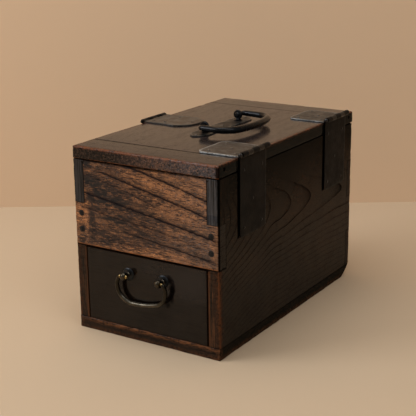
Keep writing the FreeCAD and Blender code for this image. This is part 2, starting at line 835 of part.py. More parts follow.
def build():
    parts = {
        "bottom_board": bottom_board(),
        "left_side_board": left_side_board(),
        "right_side_board": right_side_board(),
        "front_panel": front_panel(),
        "back_panel": back_panel(),
        "drawer_shelf": drawer_shelf(),
        "left_tray_ledge": tray_ledge(-1),
        "right_tray_ledge": tray_ledge(1),
        "front_joint_pegs": Part.makeCompound(front_pegs(peg_radius)),
        "rear_joint_pegs": Part.makeCompound(rear_pegs(peg_radius)),
        "hasp_staple": staple_wires(staple_wire),
        "lid_panel": lid_panel(),
        "lid_front_cleat": lid_cleat(-1),
        "lid_rear_cleat": lid_cleat(1),
        "lid_cleat_plugs": Part.makeCompound(cleat_plugs(-1, plug_radius) + cleat_plugs(1, plug_radius)),
        "hasp_lid_leaf": hasp_lid_leaf(),
        "hasp_pin": hasp_pin(),
        "hasp_strap": hasp_strap(),
        "lid_handle_plate": lid_handle_plate(),
        "lid_handle_front_post": lid_handle_post(-1),
        "lid_handle_rear_post": lid_handle_post(1),
        "lid_handle_bail": lid_handle_bail(),
        "drawer_front": drawer_front(),
        "drawer_left_side": drawer_side(-1),
        "drawer_right_side": drawer_side(1),
        "drawer_back": drawer_back(),
        "drawer_bottom": drawer_bottom(),
        "drawer_joint_pegs": Part.makeCompound(drawer_pegs(drawer_peg_radius)),
        "drawer_handle_left_rose": drawer_handle_rose(-1),
        "drawer_handle_right_rose": drawer_handle_rose(1),
        "drawer_handle_left_post": drawer_handle_post(-1),
        "drawer_handle_right_post": drawer_handle_post(1),
        "drawer_handle_bail": drawer_handle_bail(),
        "tray_front": tray_end(-1),
        "tray_back": tray_end(1),
        "tray_left_side": tray_side(-1),
        "tray_right_side": tray_side(1),
        "tray_bottom": tray_bottom(),
        "tray_long_divider": tray_long_divider(),
        "tray_cross_divider": tray_cross_divider(),
    }
    for name in hinges:
        parts[name + "_hinge_side_leaf"] = hinge_side_leaf(name)
        parts[name + "_hinge_lid_leaf"] = hinge_lid_leaf(name)
        parts[name + "_hinge_pin"] = hinge_pin(name)
    return parts


os.makedirs("parts", exist_ok=True)
for node, shape in build().items():
    shape.exportStep("parts/" + node + ".step")
    print(node, shape.isValid(), len(shape.Solids), round(shape.Volume, 1))
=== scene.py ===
from math import atan2, cos, pi, radians, sin, sqrt
import random

import bmesh
import bpy
from mathutils import Matrix, Vector
from mathutils.noise import noise as ripple


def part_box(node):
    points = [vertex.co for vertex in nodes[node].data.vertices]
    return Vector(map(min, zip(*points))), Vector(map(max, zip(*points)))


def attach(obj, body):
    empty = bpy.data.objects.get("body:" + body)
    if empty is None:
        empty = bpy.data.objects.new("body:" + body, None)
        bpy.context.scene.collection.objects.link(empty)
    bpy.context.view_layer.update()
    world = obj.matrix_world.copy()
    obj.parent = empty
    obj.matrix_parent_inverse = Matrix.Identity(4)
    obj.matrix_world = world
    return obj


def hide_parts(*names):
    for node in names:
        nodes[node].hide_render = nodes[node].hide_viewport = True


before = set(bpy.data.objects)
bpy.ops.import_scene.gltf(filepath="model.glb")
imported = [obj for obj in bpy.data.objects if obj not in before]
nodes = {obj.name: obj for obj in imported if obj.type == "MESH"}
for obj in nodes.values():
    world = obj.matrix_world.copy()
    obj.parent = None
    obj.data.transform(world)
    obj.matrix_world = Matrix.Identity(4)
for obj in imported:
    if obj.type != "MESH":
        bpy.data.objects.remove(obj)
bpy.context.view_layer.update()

# Lengths are in millimetres until a piece is finished, and places are in the box's own frame:
# its origin is the middle of the base, the drawer end is at -Y and the hinges are at +X.
MM = 0.001
PER_METRE = 1000


def extent(node):
    """Lowest and highest corner of a CAD node, in millimetres."""
    low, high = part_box(node)
    return low * PER_METRE, high * PER_METRE


side_low, side_high = extent("right_side_board")
base_low, base_high = extent("bottom_board")
panel_low, panel_high = extent("front_panel")
lid_low, lid_high = extent("lid_panel")
cleat_low, cleat_high = extent("lid_front_cleat")
drawer_low, drawer_high = extent("drawer_front")
side_leaves = [extent(end + "_hinge_side_leaf") for end in ("front", "rear")]

front = base_low.y
rear = base_high.y
right = base_high.x
inner_half = side_low.x
base_top = base_high.z
body_top = side_high.z
opening_top = panel_low.z
lid_top = lid_high.z
inner_front = panel_high.y
inner_rear = extent("back_panel")[0].y

# Sizes that the construction keeps inside its solids
split_level = opening_top + 53.6
rear_fingers = 4
relief_length = 25.0
relief_height = 18.0
relief_bulge_share = 0.07
peg_x = right - 10.2
peg_radius = 3.2
front_peg_levels = (split_level - 13.5, split_level - 33.5)
plug_radius = 2.4
plug_level = lid_top - 6.5
plug_inset = 13.3
hinge_width = 61.2
leaf_thickness = 1.6
knuckle_count = 5
pin_radius = 1.7
hasp_width = 50
hasp_thickness = 1.8
hasp_barrel = 3.0


class Level:
    """A number that varies over a surface. Sums on it add Math nodes to its finish."""

    def __init__(self, finish, socket):
        self.finish = finish
        self.socket = socket

    def math(self, operation, *values):
        return self.finish.node("ShaderNodeMath", {"operation": operation}, values)

    def __add__(self, other):
        return self.math("ADD", self, other)

    __radd__ = __add__

    def __sub__(self, other):
        return self.math("SUBTRACT", self, other)

    def __rsub__(self, other):
        return self.math("SUBTRACT", other, self)

    def __mul__(self, other):
        return self.math("MULTIPLY", self, other)

    __rmul__ = __mul__

    def __truediv__(self, other):
        return self.math("DIVIDE", self, other)

    def __pow__(self, other):
        return self.math("POWER", self, other)

    def __abs__(self):
        return self.math("ABSOLUTE", self)

    def part(self):
        """What is left after the whole number, as within one growth ring."""
        return self.math("FRACT", self)

    def root(self):
        return self.math("SQRT", self)

    def exponent(self):
        return self.math("EXPONENT", self)

    def most(self, other):
        return self.math("MAXIMUM", self, other)

    def least(self, other):
        return self.math("MINIMUM", self, other)

    def between(self, low, high):
        """Rises smoothly from 0 at low to 1 at high, or falls where low is the higher."""
        return self.finish.node("ShaderNodeMapRange", {"interpolation_type": "SMOOTHSTEP"},
                                {"Value": self, "From Min": low, "From Max": high})


def strongest(levels):
    """The highest of several levels at each place."""
    total, *others = levels
    for level in others:
        total = total.most(level)
    return total


def shaded(tone, share):
    return tuple(c * share for c in tone)


class Finish:
    """A procedural material in the making."""

    def __init__(self, name):
        self.material = bpy.data.materials.new(name)
        self.material.use_nodes = True
        self.tree = self.material.node_tree
        self.shader = self.tree.nodes["Principled BSDF"]
        self.place = self.node("ShaderNodeTexCoord", {}, {}, "Object")
        spread = self.tree.nodes.new("ShaderNodeSeparateXYZ")
        self.tree.links.new(spread.inputs[0], self.scaled((PER_METRE,) * 3).socket)
        self.axes = [Level(self, socket) for socket in spread.outputs]

    def node(self, kind, settings, values, output=0):
        """Any node: its settings first, then the values or links of its sockets."""
        made = self.tree.nodes.new(kind)
        for name, setting in settings.items():
            setattr(made, name, setting)
        pairs = values.items() if isinstance(values, dict) else enumerate(values)
        for name, value in pairs:
            self.join(made.inputs[name], value)
        return Level(self, made.outputs[output])

    def join(self, socket, value):
        if isinstance(value, Level):
            self.tree.links.new(socket, value.socket)
        else:
            socket.default_value = value

    def set(self, **values):
        for name, value in values.items():
            self.join(self.shader.inputs[name.replace("_", " ")], value)

    def scaled(self, shares, shift=0.0):
        """The place on the piece, stretched by shares and moved by the shift."""
        return self.node("ShaderNodeVectorMath", {"operation": "MULTIPLY_ADD"},
                         [self.place, shares, (shift, shift, shift)])

    def noise(self, sizes, shift, detail=2.0, roughness=0.5):
        """Cloudy noise from 0 to 1. Its patches are about as large as sizes, one number or one for each axis."""
        if not isinstance(sizes, tuple):
            sizes = (sizes,) * 3
        spots = self.scaled(tuple(PER_METRE / size for size in sizes), shift)
        return self.node("ShaderNodeTexNoise", {},
                         {"Vector": spots, "Scale": 1.0, "Detail": detail, "Roughness": roughness}, "Fac")

    def flecks(self, sizes, shift, low, high, detail=3.0, roughness=0.6):
        """Patches with soft rims, where the noise passes from low to high."""
        return self.noise(sizes, shift, detail, roughness).between(low, high)

    def mix(self, share, low, high):
        """From the low colour to the high one."""
        made = self.tree.nodes.new("ShaderNodeMix")
        made.data_type = "RGBA"
        self.join(made.inputs["Factor"], share)
        for name, colour in (("A", low), ("B", high)):
            socket = next(s for s in made.inputs if s.name == name and s.type == "RGBA")
            self.join(socket, colour if isinstance(colour, Level) else (*colour, 1.0))
        return Level(self, next(s for s in made.outputs if s.type == "RGBA"))

    def kept(self, name):
        """A number kept at each vertex of the piece."""
        return self.node("ShaderNodeAttribute", {"attribute_name": name}, {}, "Fac")

    def spot(self, across, along, places):
        """Soft patches: each place is the middle and half size across and along, and a strength."""
        patches = []
        for middle_a, middle_b, half_a, half_b, strength in places:
            a = (across - middle_a) / half_a
            b = (along - middle_b) / half_b
            patches.append((a * a + b * b).between(1.0, 0.0) * strength)
        return strongest(patches)

    def bump(self, height, distance):
        self.set(Normal=self.node("ShaderNodeBump", {}, {"Height": height, "Distance": distance * MM}))


class Wood:
    """Old wood in the making: a finish, its colour so far, and the marks that its relief follows."""

    def __init__(self, name, pale, deep, dark, cloud):
        self.finish = Finish(name)
        self.dark = dark
        clouds = self.finish.flecks((cloud, cloud, cloud * 0.7), 2, 0.32, 0.66, 4)
        self.colour = self.finish.mix(clouds, pale, deep)
        self.relief = 0.5
        self.polish = 1.0
        self.seam_share = 0.9
        self.worn = self.finish.kept("wear")

    def tint(self, share, tone):
        self.colour = self.finish.mix(share, self.colour, tone)

    def bare(self, share, tone):
        """Where the polish is gone: a joint or a rubbed arris, or painted shade at a gap or beside a part."""
        self.tint(share, tone)
        self.polish = self.polish * (1 - share)

    def lines(self, rings, power, share, depth, strength=1.0):
        """Dark late wood where one ring ends and the next begins."""
        late = rings.part() ** power * strength
        late = late * (self.finish.flecks((55, 55, 26), 9, 0.2, 0.62, 2, 0.5) * 0.65 + 0.35)
        self.tint(late * share, self.dark)
        self.relief = self.relief - late * depth

    def pores(self, sizes, low, high, share, depth, shift=4.0, tone=None):
        """Short dark dashes along the grain."""
        marks = self.finish.flecks(sizes, shift, low, high, 3, 0.62)
        self.tint(marks * share, tone or self.dark)
        self.relief = self.relief - marks * depth

    def done(self, gloss, worn_tone, worn_share, polish, relief=0.4, gloss_sizes=26):
        """Rubbed arrises, dark seams, a satin polish that the pores break, and relief. Returns the material."""
        finish = self.finish
        self.bare(self.worn * finish.flecks(3.4, 12, 0.36, 0.62, 4, 0.7) * worn_share, worn_tone)
        self.bare(finish.kept("seam") ** 4 * self.seam_share, (0.005, 0.004, 0.003))
        blotch = finish.noise(gloss_sizes, 15, 4, 0.6)
        film = (blotch * 0.6 + 0.7 + (self.relief - 0.5) * 1.2).most(0.0).least(1.0)
        finish.set(Base_Color=self.colour, Roughness=0.5 + (blotch - 0.5) * 0.28, Specular_IOR_Level=0.0,
                   Coat_Weight=film * self.polish * polish, Coat_Roughness=gloss)
        finish.bump(self.relief, relief)
        return finish.material


def ring_line(finish, points, width):
    """A dark growth ring: a parabola through three places across and up, frayed like a torn edge."""
    (x0, z0), (x1, z1), (x2, z2) = points
    first = (z1 - z0) / (x1 - x0)
    bend = ((z2 - z1) / (x2 - x1) - first) / (x2 - x0)
    x, _, z = finish.axes
    across = x + right
    level = z0 + (across - x0) * (first + (across - x1) * bend)
    above = z - level + (finish.noise(9, x0 * 0.1, 3, 0.6) - 0.5) * 3.6
    body = above.between(width, 0.0) * above.between(-width * 0.45, 0.0)
    reach = (across - x0).between(-14.0, 10.0) * (x2 - across).between(-14.0, 10.0)
    return body * reach * finish.flecks(16, z0, 0.22, 0.42, 3, 0.5)


def panel_wood():
    """Warm zelkova, orange between its dark rings, sooty towards the left."""
    wood = Wood("panel_zelkova", (0.245, 0.108, 0.050), (0.078, 0.036, 0.023), (0.010, 0.010, 0.013), 18)
    finish = wood.finish
    x, y, z = finish.axes
    across = x + right
    warm = finish.spot(across, z, [
        (17, 160, 5, 50, 0.9), (6, 147, 16, 17, 0.9), (198, 138, 8, 25, 0.7), (145, 192, 80, 46, 0.95),
        (120, 114, 90, 9, 0.6), (155, 160, 60, 26, 0.45), (138, 166, 46, 13, 0.85)])
    wood.tint(warm, (0.420, 0.180, 0.076))
    wood.pores((16, 16, 4.5), 0.46, 0.62, 0.65, 0.1, 21, (0.030, 0.022, 0.021))
    rightward = across.between(90, 190)
    glints = finish.flecks((7.5, 7.5, 1.7), 33, 0.50, 0.66, 3, 0.65)
    wood.tint(glints * (warm * 0.5 + 0.35) * (1 - rightward * 0.3), (0.760, 0.330, 0.125))
    # Painted sheen: the panel is paler and greyer towards the right.
    wood.tint(rightward * 0.25, (0.165, 0.122, 0.104))
    wood.tint(finish.flecks((3.2, 3.2, 2.2), 91, 0.54, 0.66) * (rightward * 0.25 + 0.4), (0.120, 0.112, 0.120))
    wood.polish = rightward * 0.35 + 1.0
    wood.pores((9, 9, 1.3), 0.53, 0.62, 0.8, 0.35)
    wood.pores((2.2, 2.2, 1.5), 0.57, 0.65, 0.8, 0.25, 8, (0.014, 0.014, 0.018))
    rings = [
        (((60, 219), (137, 203), (188, 189.5)), 3.2, 1.0), (((40, 204), (100, 191), (188, 170.5)), 3.2, 1.0),
        (((12, 176.5), (100, 162), (206, 143.5)), 3.4, 1.0), (((80, 134), (130, 128), (206, 117.5)), 2.2, 0.85),
        (((95, 221), (140, 213), (188, 203)), 1.8, 0.4), (((8, 200), (60, 190), (120, 172)), 2.0, 0.45),
        (((90, 147), (140, 141), (190, 131)), 1.8, 0.3), (((16, 158), (50, 152), (110, 146)), 2.2, 0.6),
        (((30, 122), (100, 118), (200, 111)), 1.6, 0.3), (((120, 178), (150, 172), (186, 161)), 1.6, 0.3)]
    lines, shades = [strongest([ring_line(finish, points, width * spread) * share for points, width, share in rings])
                     for spread in (1.0, 4.5)]
    sides = abs(x).between(right - 1.6, right - 0.4)
    lines = lines * (1 - sides)
    wood.tint(shades * 0.45, (0.030, 0.018, 0.014))
    wood.bare(lines * 0.96, wood.dark)
    wood.relief = wood.relief - lines * 0.6
    soot = finish.spot(across, z, [
        (46, 172, 52, 28, 1.0), (26, 190, 34, 14, 1.0), (10, 212, 60, 9, 1.0), (60, 150, 40, 10, 1.0),
        (100, 178, 44, 17, 0.8), (26, 138, 8, 30, 0.9), (70, 119, 14, 7, 0.9), (9, 114, 7, 7, 0.9),
        (150, 208, 40, 7, 0.3), (80, 136, 60, 20, 0.7), (176, 120, 18, 6, 0.5), (88, 160, 76, 50, 0.55),
        (46, 124, 46, 15, 0.85)])
    wood.tint(soot * finish.flecks((11, 11, 5), 20, 0.34, 0.54, 5, 0.72), (0.012, 0.011, 0.013))
    rubbed = z.between(opening_top + 2.6, opening_top + 1.4) * finish.flecks(5, 47, 0.40, 0.52)
    wood.bare(rubbed, (0.300, 0.115, 0.042))
    # Painted shade from the gap above the drawer, along the panel's lower edge.
    wood.bare(z.between(opening_top + 1.3, opening_top + 0.7), (0.006, 0.003, 0.002))
    halo = finish.spot(abs(x), z, [(peg_x, level, 4.7, 4.7, 1.0) for level in front_peg_levels])
    wood.tint(halo.between(0.0, 0.5), (0.010, 0.009, 0.010))
    wood.tint(sides, (0.0090, 0.0060, 0.0040))
    wood.polish = wood.polish * (1 - sides * 0.45)
    wood.seam_share = 0.9 - sides * 0.55
    wood.worn = wood.worn * x.between(right - 1.0, right - 3.0)
    wood.bare(x.between(right - 2.4, right - 0.8) * y.between(front + 3.5, front + 1.5) * 0.95,
              (0.003, 0.002, 0.0015))
    return wood.done(0.24, (0.300, 0.140, 0.060), 0.8, 0.62)


def rings_of_side(finish, turned):
    """Growth rings of a side board, and how strongly they show.

    They are arches that lie down, with their tips towards the rear and their upper halves faint.
    """
    log_depth = 55.0
    _, y, z = finish.axes
    along = y * turned - front
    wave = (finish.noise((40, 60, 40), 5.3 + turned) - 0.5) * 7.0 + (finish.noise((12, 18, 9), 8.1) - 0.5) * 1.5
    off_axis = z + wave - 170.0 + along * 0.12
    arch = (off_axis * off_axis + log_depth ** 2).root() - log_depth
    crowding = (along - 118.0) / 22.0
    taper = 4.97 - (along / -130.0).exponent() * 11.0 + (crowding * crowding * -1.0).exponent() * 0.47
    return taper + arch / 6.0, off_axis.between(40, 14) * (z.between(45, 105) * 0.45 + 0.55)


def stile_tone(finish, streaks, light):
    """Colours of a side board's front end: grey by the panel, orange in streaks by the drawer."""
    x, _, z = finish.axes
    patches = finish.flecks((5, 5, 22), 61, 0.42, 0.58, 4, 0.65) * 0.6 + 0.4
    low_tone = finish.mix(streaks.between(0.40, 0.60) * light * patches, (0.005, 0.0032, 0.002),
                          (0.092, 0.034, 0.013))
    inner_edge = abs(x).between(inner_half + 5.0, inner_half + 0.3) * streaks.between(0.3, 0.55)
    low_tone = finish.mix(inner_edge * 0.75, low_tone, (0.135, 0.048, 0.017))
    low_tone = finish.mix(abs(x).between(right - 8.0, right - 4.0) * 0.6, low_tone, (0.0045, 0.0032, 0.0030))
    high_tone = finish.mix(streaks.between(0.35, 0.65) * light, (0.007, 0.006, 0.006), (0.064, 0.064, 0.071))
    return finish.mix(z.between(opening_top + 5, opening_top + 20), low_tone, high_tone)


def side_wood(name, turned):
    """The dark side boards. Their front ends show as stiles beside the drawer and the panel."""
    wood = Wood(name, (0.0180, 0.0100, 0.0050), (0.0090, 0.0052, 0.0028), (0.0020, 0.0015, 0.0012), 60)
    finish = wood.finish
    x, y, z = finish.axes
    red = finish.spot(y * turned, z, [(30, 140, 70, 40, 0.7), (120, 90, 70, 40, 0.5)])
    wood.tint(red, (0.0240, 0.0110, 0.0050))
    # Painted shade: darker and greyer towards the top, further from the light off the floor.
    wood.tint(z.between(165, 215) * 0.8, (0.0036, 0.0034, 0.0026))
    wood.tint((y * turned).between(front + 48, front + 10) * z.between(90, 150) * 0.6, (0.0070, 0.0060, 0.0040))
    wood.pores((0.8, 9, 0.8), 0.50, 0.66, 0.55, 0.25)
    rings, strength = rings_of_side(finish, turned)
    wood.lines(rings, 9, 0.95, 0.8, strength)
    streaks = finish.noise((1.5, 1.5, 50), 7, 4, 0.7)
    end = y.between(front + 1.3, front + 0.4)
    wood.tint(end, stile_tone(finish, streaks, 1.0 if turned > 0 else 0.5))
    rubbed = (y - front).between(26, 1) * streaks.between(0.5, 0.66) * (1 - end)
    wood.tint(rubbed * 0.6, (0.035, 0.014, 0.007))
    corner = (y - front).between(4.0, 2.2) * abs(x).between(right - 3.0, right - 1.2)
    wood.bare(corner * z.between(115, 125), (0.002, 0.0015, 0.0010))
    wood.tint(corner * z.between(125, 115) * streaks.between(0.45, 0.55) * 0.8, (0.110, 0.036, 0.012))
    for low, _ in side_leaves if turned > 0 else ():
        shade = abs(y - low.y + 0.8).between(2.4, 1.4) * z.between(low.z - 1.0, low.z + 2.0)
        wood.bare(shade * 0.95, (0.0015, 0.0012, 0.0010))
    wood.seam_share = z.between(body_top - 0.3, body_top - 2.5) * (end * 0.5 + 0.4)
    wood.worn = wood.worn * z.between(125, 115)
    wood.polish = wood.polish * ((z.between(220, 100) * 0.27 + 0.14) * (1 - end) + end * 0.5)
    return wood.done(0.22, (0.120, 0.042, 0.016), 0.85, 1.0, 0.6)


def straight(finish, axis, spacing, bend=14.0):
    """Rings of a quarter-sawn board: nearly straight lines, apart by the spacing, square to the axis."""
    return (finish.axes[axis] + (finish.noise((120, 120, 60), 1) - 0.5) * bend) / spacing


def dress_cleat_face(wood, side):
    """The lid's front edge: warm black at the left, freckled with grey and orange towards the right."""
    finish = wood.finish
    x, y, z = finish.axes
    face = y.between(front + 2.2, front + 0.7) * (1 - side)
    rightward = x.between(-60, 90)
    specks = finish.flecks((2.5, 2.5, 2.2), 31, 0.50, 0.60, 4, 0.75)
    tone = finish.mix(rightward, (0.0050, 0.0022, 0.0014), (0.054, 0.050, 0.060))
    wood.tint(face, finish.mix(specks * (rightward * 0.45 + 0.20), tone, (0.250, 0.135, 0.092)))
    wood.polish = wood.polish * (1 - face * (1 - rightward) * 0.35)
    rubbed = x.between(-45, 15) * x.between(75, 25) * finish.flecks(6, 19, 0.35, 0.6)
    wood.tint(face * rubbed * 0.55, (0.150, 0.068, 0.036))
    corner = x.between(right - 4.4, right - 3.0) * y.between(front + 5.0, front + 2.0)
    corner = corner * z.between(lid_top - 1.5, lid_top - 3.5)
    wood.bare(corner * 0.9, (0.007, 0.003, 0.002))
    wood.worn = wood.worn * (1 - corner)
    edge = y.between(front + 2.8, front + 1.2)
    hem = edge * z.between(lid_low.z + 2.4, lid_low.z + 1.4) * finish.flecks((9, 3, 3), 83, 0.42, 0.54)
    wood.bare(hem * 0.8, (0.170, 0.060, 0.022))
    # Painted shade along the gap below the lid's front edge.
    wood.bare(z.between(lid_low.z + 1.5, lid_low.z + 0.9) * face, (0.003, 0.0015, 0.001))
    crest = edge * z.between(lid_top - 3.0, lid_top - 1.6) * finish.flecks((12, 3, 3), 57, 0.40, 0.54)
    wood.bare(crest * (0.62 - rightward * 0.1), finish.mix(rightward, (0.215, 0.078, 0.036), (0.225, 0.120, 0.085)))
    wood.tint(face * finish.flecks((2.6, 2.6, 2.2), 44, 0.53, 0.61, 3, 0.7) * 0.9, (0.010, 0.007, 0.007))


def lid_wood(name, axis, grain, streaks, cleat=False):
    """The lid's satin top: nearly black wood under a worn polish that takes the light of the room."""
    wood = Wood(name, (0.030, 0.0200, 0.0175), (0.016, 0.0120, 0.0115), (0.006, 0.0050, 0.0045), 40)
    finish = wood.finish
    x, y, z = finish.axes
    wood.pores(grain, 0.50, 0.66, 0.5, 0.3)
    wood.lines(straight(finish, axis, 17), 4, 0.2, 0.06)
    dust = finish.flecks(5, 25, 0.45, 0.7, 4, 0.7) * z.between(lid_top - 1.2, lid_top - 0.3)
    wood.tint(dust * 0.35, (0.085, 0.070, 0.066))
    side = abs(x).between(right - 1.6, right - 0.6)
    wood.tint(side * 0.9, (0.0038, 0.0050, 0.0042))
    wood.polish = 1 - side * 0.75
    wood.worn = wood.worn * z.between(lid_top - 3.6, lid_top - 1.8) * (1 - side * 0.6)
    if cleat:
        dress_cleat_face(wood, side)
    joint = abs(abs(y) + cleat_high.y).between(1.5, 0.5) * finish.flecks(10, 71, 0.36, 0.50)
    wood.bare(joint * z.between(lid_top - 1.0, lid_top) * y.between(0.0, front + 20), (0.003, 0.002, 0.002))
    worn_end = y.between(front - 20, front + 90) * 0.25 + 0.75
    return wood.done(0.16, (0.200, 0.070, 0.030), 0.8, worn_end * 0.95, 0.3, streaks)


def rail_wood():
    """The bottom board's edges: sooty brown, orange where its upper arris is rubbed."""
    wood = Wood("base_rail", (0.020, 0.0110, 0.0070), (0.008, 0.0055, 0.0040), (0.003, 0.0025, 0.0020), 22)
    finish = wood.finish
    x, y, z = finish.axes
    wood.pores((8, 8, 0.9), 0.46, 0.62, 0.6, 0.3)
    face = y.between(front + 2.0, front + 0.6)
    rubbed = z.between(8.5, 14.0) * finish.flecks((11, 11, 2.2), 28, 0.47, 0.59, 4, 0.7)
    wood.tint(face * rubbed * 0.9, (0.210, 0.080, 0.028))
    wood.tint(face * finish.flecks((16, 16, 2), 38, 0.55, 0.68, 4, 0.7) * 0.6, (0.075, 0.034, 0.018))
    sides = abs(x).between(right - 1.4, right - 0.4)
    soot = finish.flecks((8, 8, 3), 3, 0.4, 0.6, 4, 0.7)
    wood.tint(sides * 0.85, finish.mix(soot, (0.004, 0.0045, 0.003), (0.012, 0.009, 0.006)))
    wood.polish = 1 - sides * 0.65
    return wood.done(0.26, (0.150, 0.060, 0.028), 0.7, 0.42)


def drawer_wood():
    """The drawer's face: nearly black, with a faint grain along it and a painted shadow and reflection of the bail
    beside its arms.
    """
    wood = Wood("drawer_face", (0.0085, 0.0046, 0.0030), (0.0045, 0.0028, 0.0020), (0.0010, 0.0008, 0.0007), 50)
    finish = wood.finish
    x, _, z = finish.axes
    wood.pores((12, 12, 0.8), 0.48, 0.66, 0.45, 0.2)
    wood.lines(straight(finish, 2, 13), 4, 0.3, 0.12)
    brown = finish.spot(x, z, [(-72, 40, 30, 60, 0.6), (70, 30, 40, 30, 0.4)])
    wood.tint(brown * 0.7, (0.0065, 0.0030, 0.0015))
    wood.tint(finish.spot(x, z, [(60, 88, 60, 30, 0.8), (15, 95, 40, 16, 0.5)]), (0.0165, 0.0132, 0.0122))
    wood.tint(finish.flecks(3, 51, 0.58, 0.74, 4, 0.7) * 0.3, (0.035, 0.028, 0.022))
    # Painted shadow and reflection of the bail beside its arms and roses, dark and without polish.
    painted_bail_shadow = finish.spot(x, z, [(34, 86, 6, 6, 0.9), (37.5, 76, 5.5, 9, 1.0), (36, 65, 5, 9, 1.0),
                               (31, 56, 5, 6, 0.8), (-17, 82, 5, 6, 0.5)])
    wood.bare(painted_bail_shadow * finish.flecks(3, 67, 0.10, 0.40) * 0.8, (0.0020, 0.0012, 0.0008))
    # Painted shade from the gaps above and right of the face, along its top and right edges.
    for level, edge in ((z, drawer_high.z), (x, drawer_high.x)):
        wood.bare(level.between(edge - 1.8, edge - 0.9), (0.0015, 0.0008, 0.0005))
    return wood.done(0.12, (0.020, 0.0100, 0.0060), 0.5, 0.62, 0.22)


def back_wood():
    """The back: dark brown with bold rings, toned like the side boards where its fingers show."""
    wood = Wood("back_board", (0.024, 0.0150, 0.0090), (0.012, 0.0080, 0.0055), (0.0030, 0.0024, 0.0020), 50)
    wood.pores((9, 0.8, 0.9), 0.48, 0.64, 0.55, 0.25)
    sides = abs(wood.finish.axes[0]).between(right - 1.4, right - 0.4)
    wood.lines(straight(wood.finish, 2, 15, 30.0), 5, 0.8, 0.6, 1 - sides)
    wood.tint(sides * 0.8, (0.0080, 0.0052, 0.0034))
    wood.polish = 1 - sides * 0.5
    wood.seam_share = 0.9 - sides * 0.55
    return wood.done(0.38, (0.130, 0.050, 0.022), 0.8, 0.7, 0.5)


def inner_wood(name, axis, grain):
    """Unfinished wood inside: pale brown, with straight rings."""
    wood = Wood(name, (0.290, 0.185, 0.105), (0.215, 0.135, 0.076), (0.095, 0.056, 0.032), 40)
    wood.pores(grain, 0.50, 0.66, 0.5, 0.2)
    wood.lines(straight(wood.finish, axis, 8), 4, 0.6, 0.4)
    return wood.done(0.5, (0.330, 0.220, 0.140), 0.5, 0.15, 0.3)


def peg_end_wood(name, shade):
    """End grain of a peg, as dark as its shade."""
    wood = Wood(name, shaded((0.012, 0.012, 0.014), shade), shaded((0.005, 0.005, 0.006), shade),
                (0.002, 0.002, 0.002), 6)
    wood.pores((0.5, 0.5, 0.5), 0.45, 0.62, 0.6, 0.3)
    return wood.done(0.35, shaded((0.060, 0.040, 0.030), shade), 0.4, 0.45 * shade, 0.3)


def iron(name, tone, worn_tone, rough, metal, shine=0.5, dark_bend=True, black_edges=(), rear_shade=0.0):
    """Old forged iron: dark, faintly dented, pale where its edges are rubbed, black at some edges along Y."""
    finish = Finish(name)
    x, y, _ = finish.axes
    clouds = finish.flecks(14, 3, 0.35, 0.65, 4, 0.65)
    colour = finish.mix(clouds, tone, tuple(a * b for a, b in zip(tone, (1.35, 1.0, 0.75))))
    colour = finish.mix(finish.flecks(1.5, 9, 0.58, 0.72, 3, 0.7) * 0.5, colour, shaded(tone, 0.4))
    worn = finish.kept("wear") * finish.flecks(3, 5, 0.25, 0.55, 2, 0.5)
    colour = finish.mix(worn, colour, worn_tone)
    if rear_shade:
        colour = finish.mix(y.between(0, 60) * rear_shade, colour, shaded(tone, 0.55))
    if dark_bend:
        colour = finish.mix(abs(x).between(right - 1.0, right + 1.0), colour, (0.014, 0.013, 0.012))
    for edge in black_edges:
        colour = finish.mix(abs(y - edge).between(1.5, 0.9), colour, (0.001, 0.001, 0.001))
    finish.set(Base_Color=colour, Metallic=metal, Specular_IOR_Level=shine,
               Roughness=rough + (clouds - 0.5) * 0.2 - worn * 0.15)
    finish.bump(finish.noise(4, 2, 3, 0.6), 0.25)
    return finish.material


def bronze(name, tone, worn_tone, rough, dark_above=None):
    """Cast bronze, nearly black in its hollows and golden where it is handled."""
    finish = Finish(name)
    clouds = finish.flecks(10, 6, 0.35, 0.65, 4)
    colour = finish.mix(clouds, tone, shaded(tone, 0.55))
    # Painted shade: above this level the bail's arms are darker than its lit lower bar.
    if dark_above:
        high = finish.axes[2].between(dark_above, dark_above + 10.0)
        colour = finish.mix(high, colour, shaded(tone, 0.3))
    finish.set(Base_Color=finish.mix(finish.kept("wear"), colour, worn_tone), Metallic=1.0,
               Roughness=rough + (clouds - 0.5) * 0.12)
    finish.bump(finish.noise(2.5, 2), 0.08)
    return finish.material


def stage_paint(name, tone):
    """Matt paint that is clear from behind, so that the far side of the object can be looked at."""
    finish = Finish(name)
    facing_away = finish.node("ShaderNodeNewGeometry", {}, {}, "Backfacing")
    finish.set(Base_Color=finish.mix(finish.noise(900, 1) * 0.5, tone, shaded(tone, 0.93)), Roughness=0.8,
               Alpha=1 - facing_away)
    return finish.material


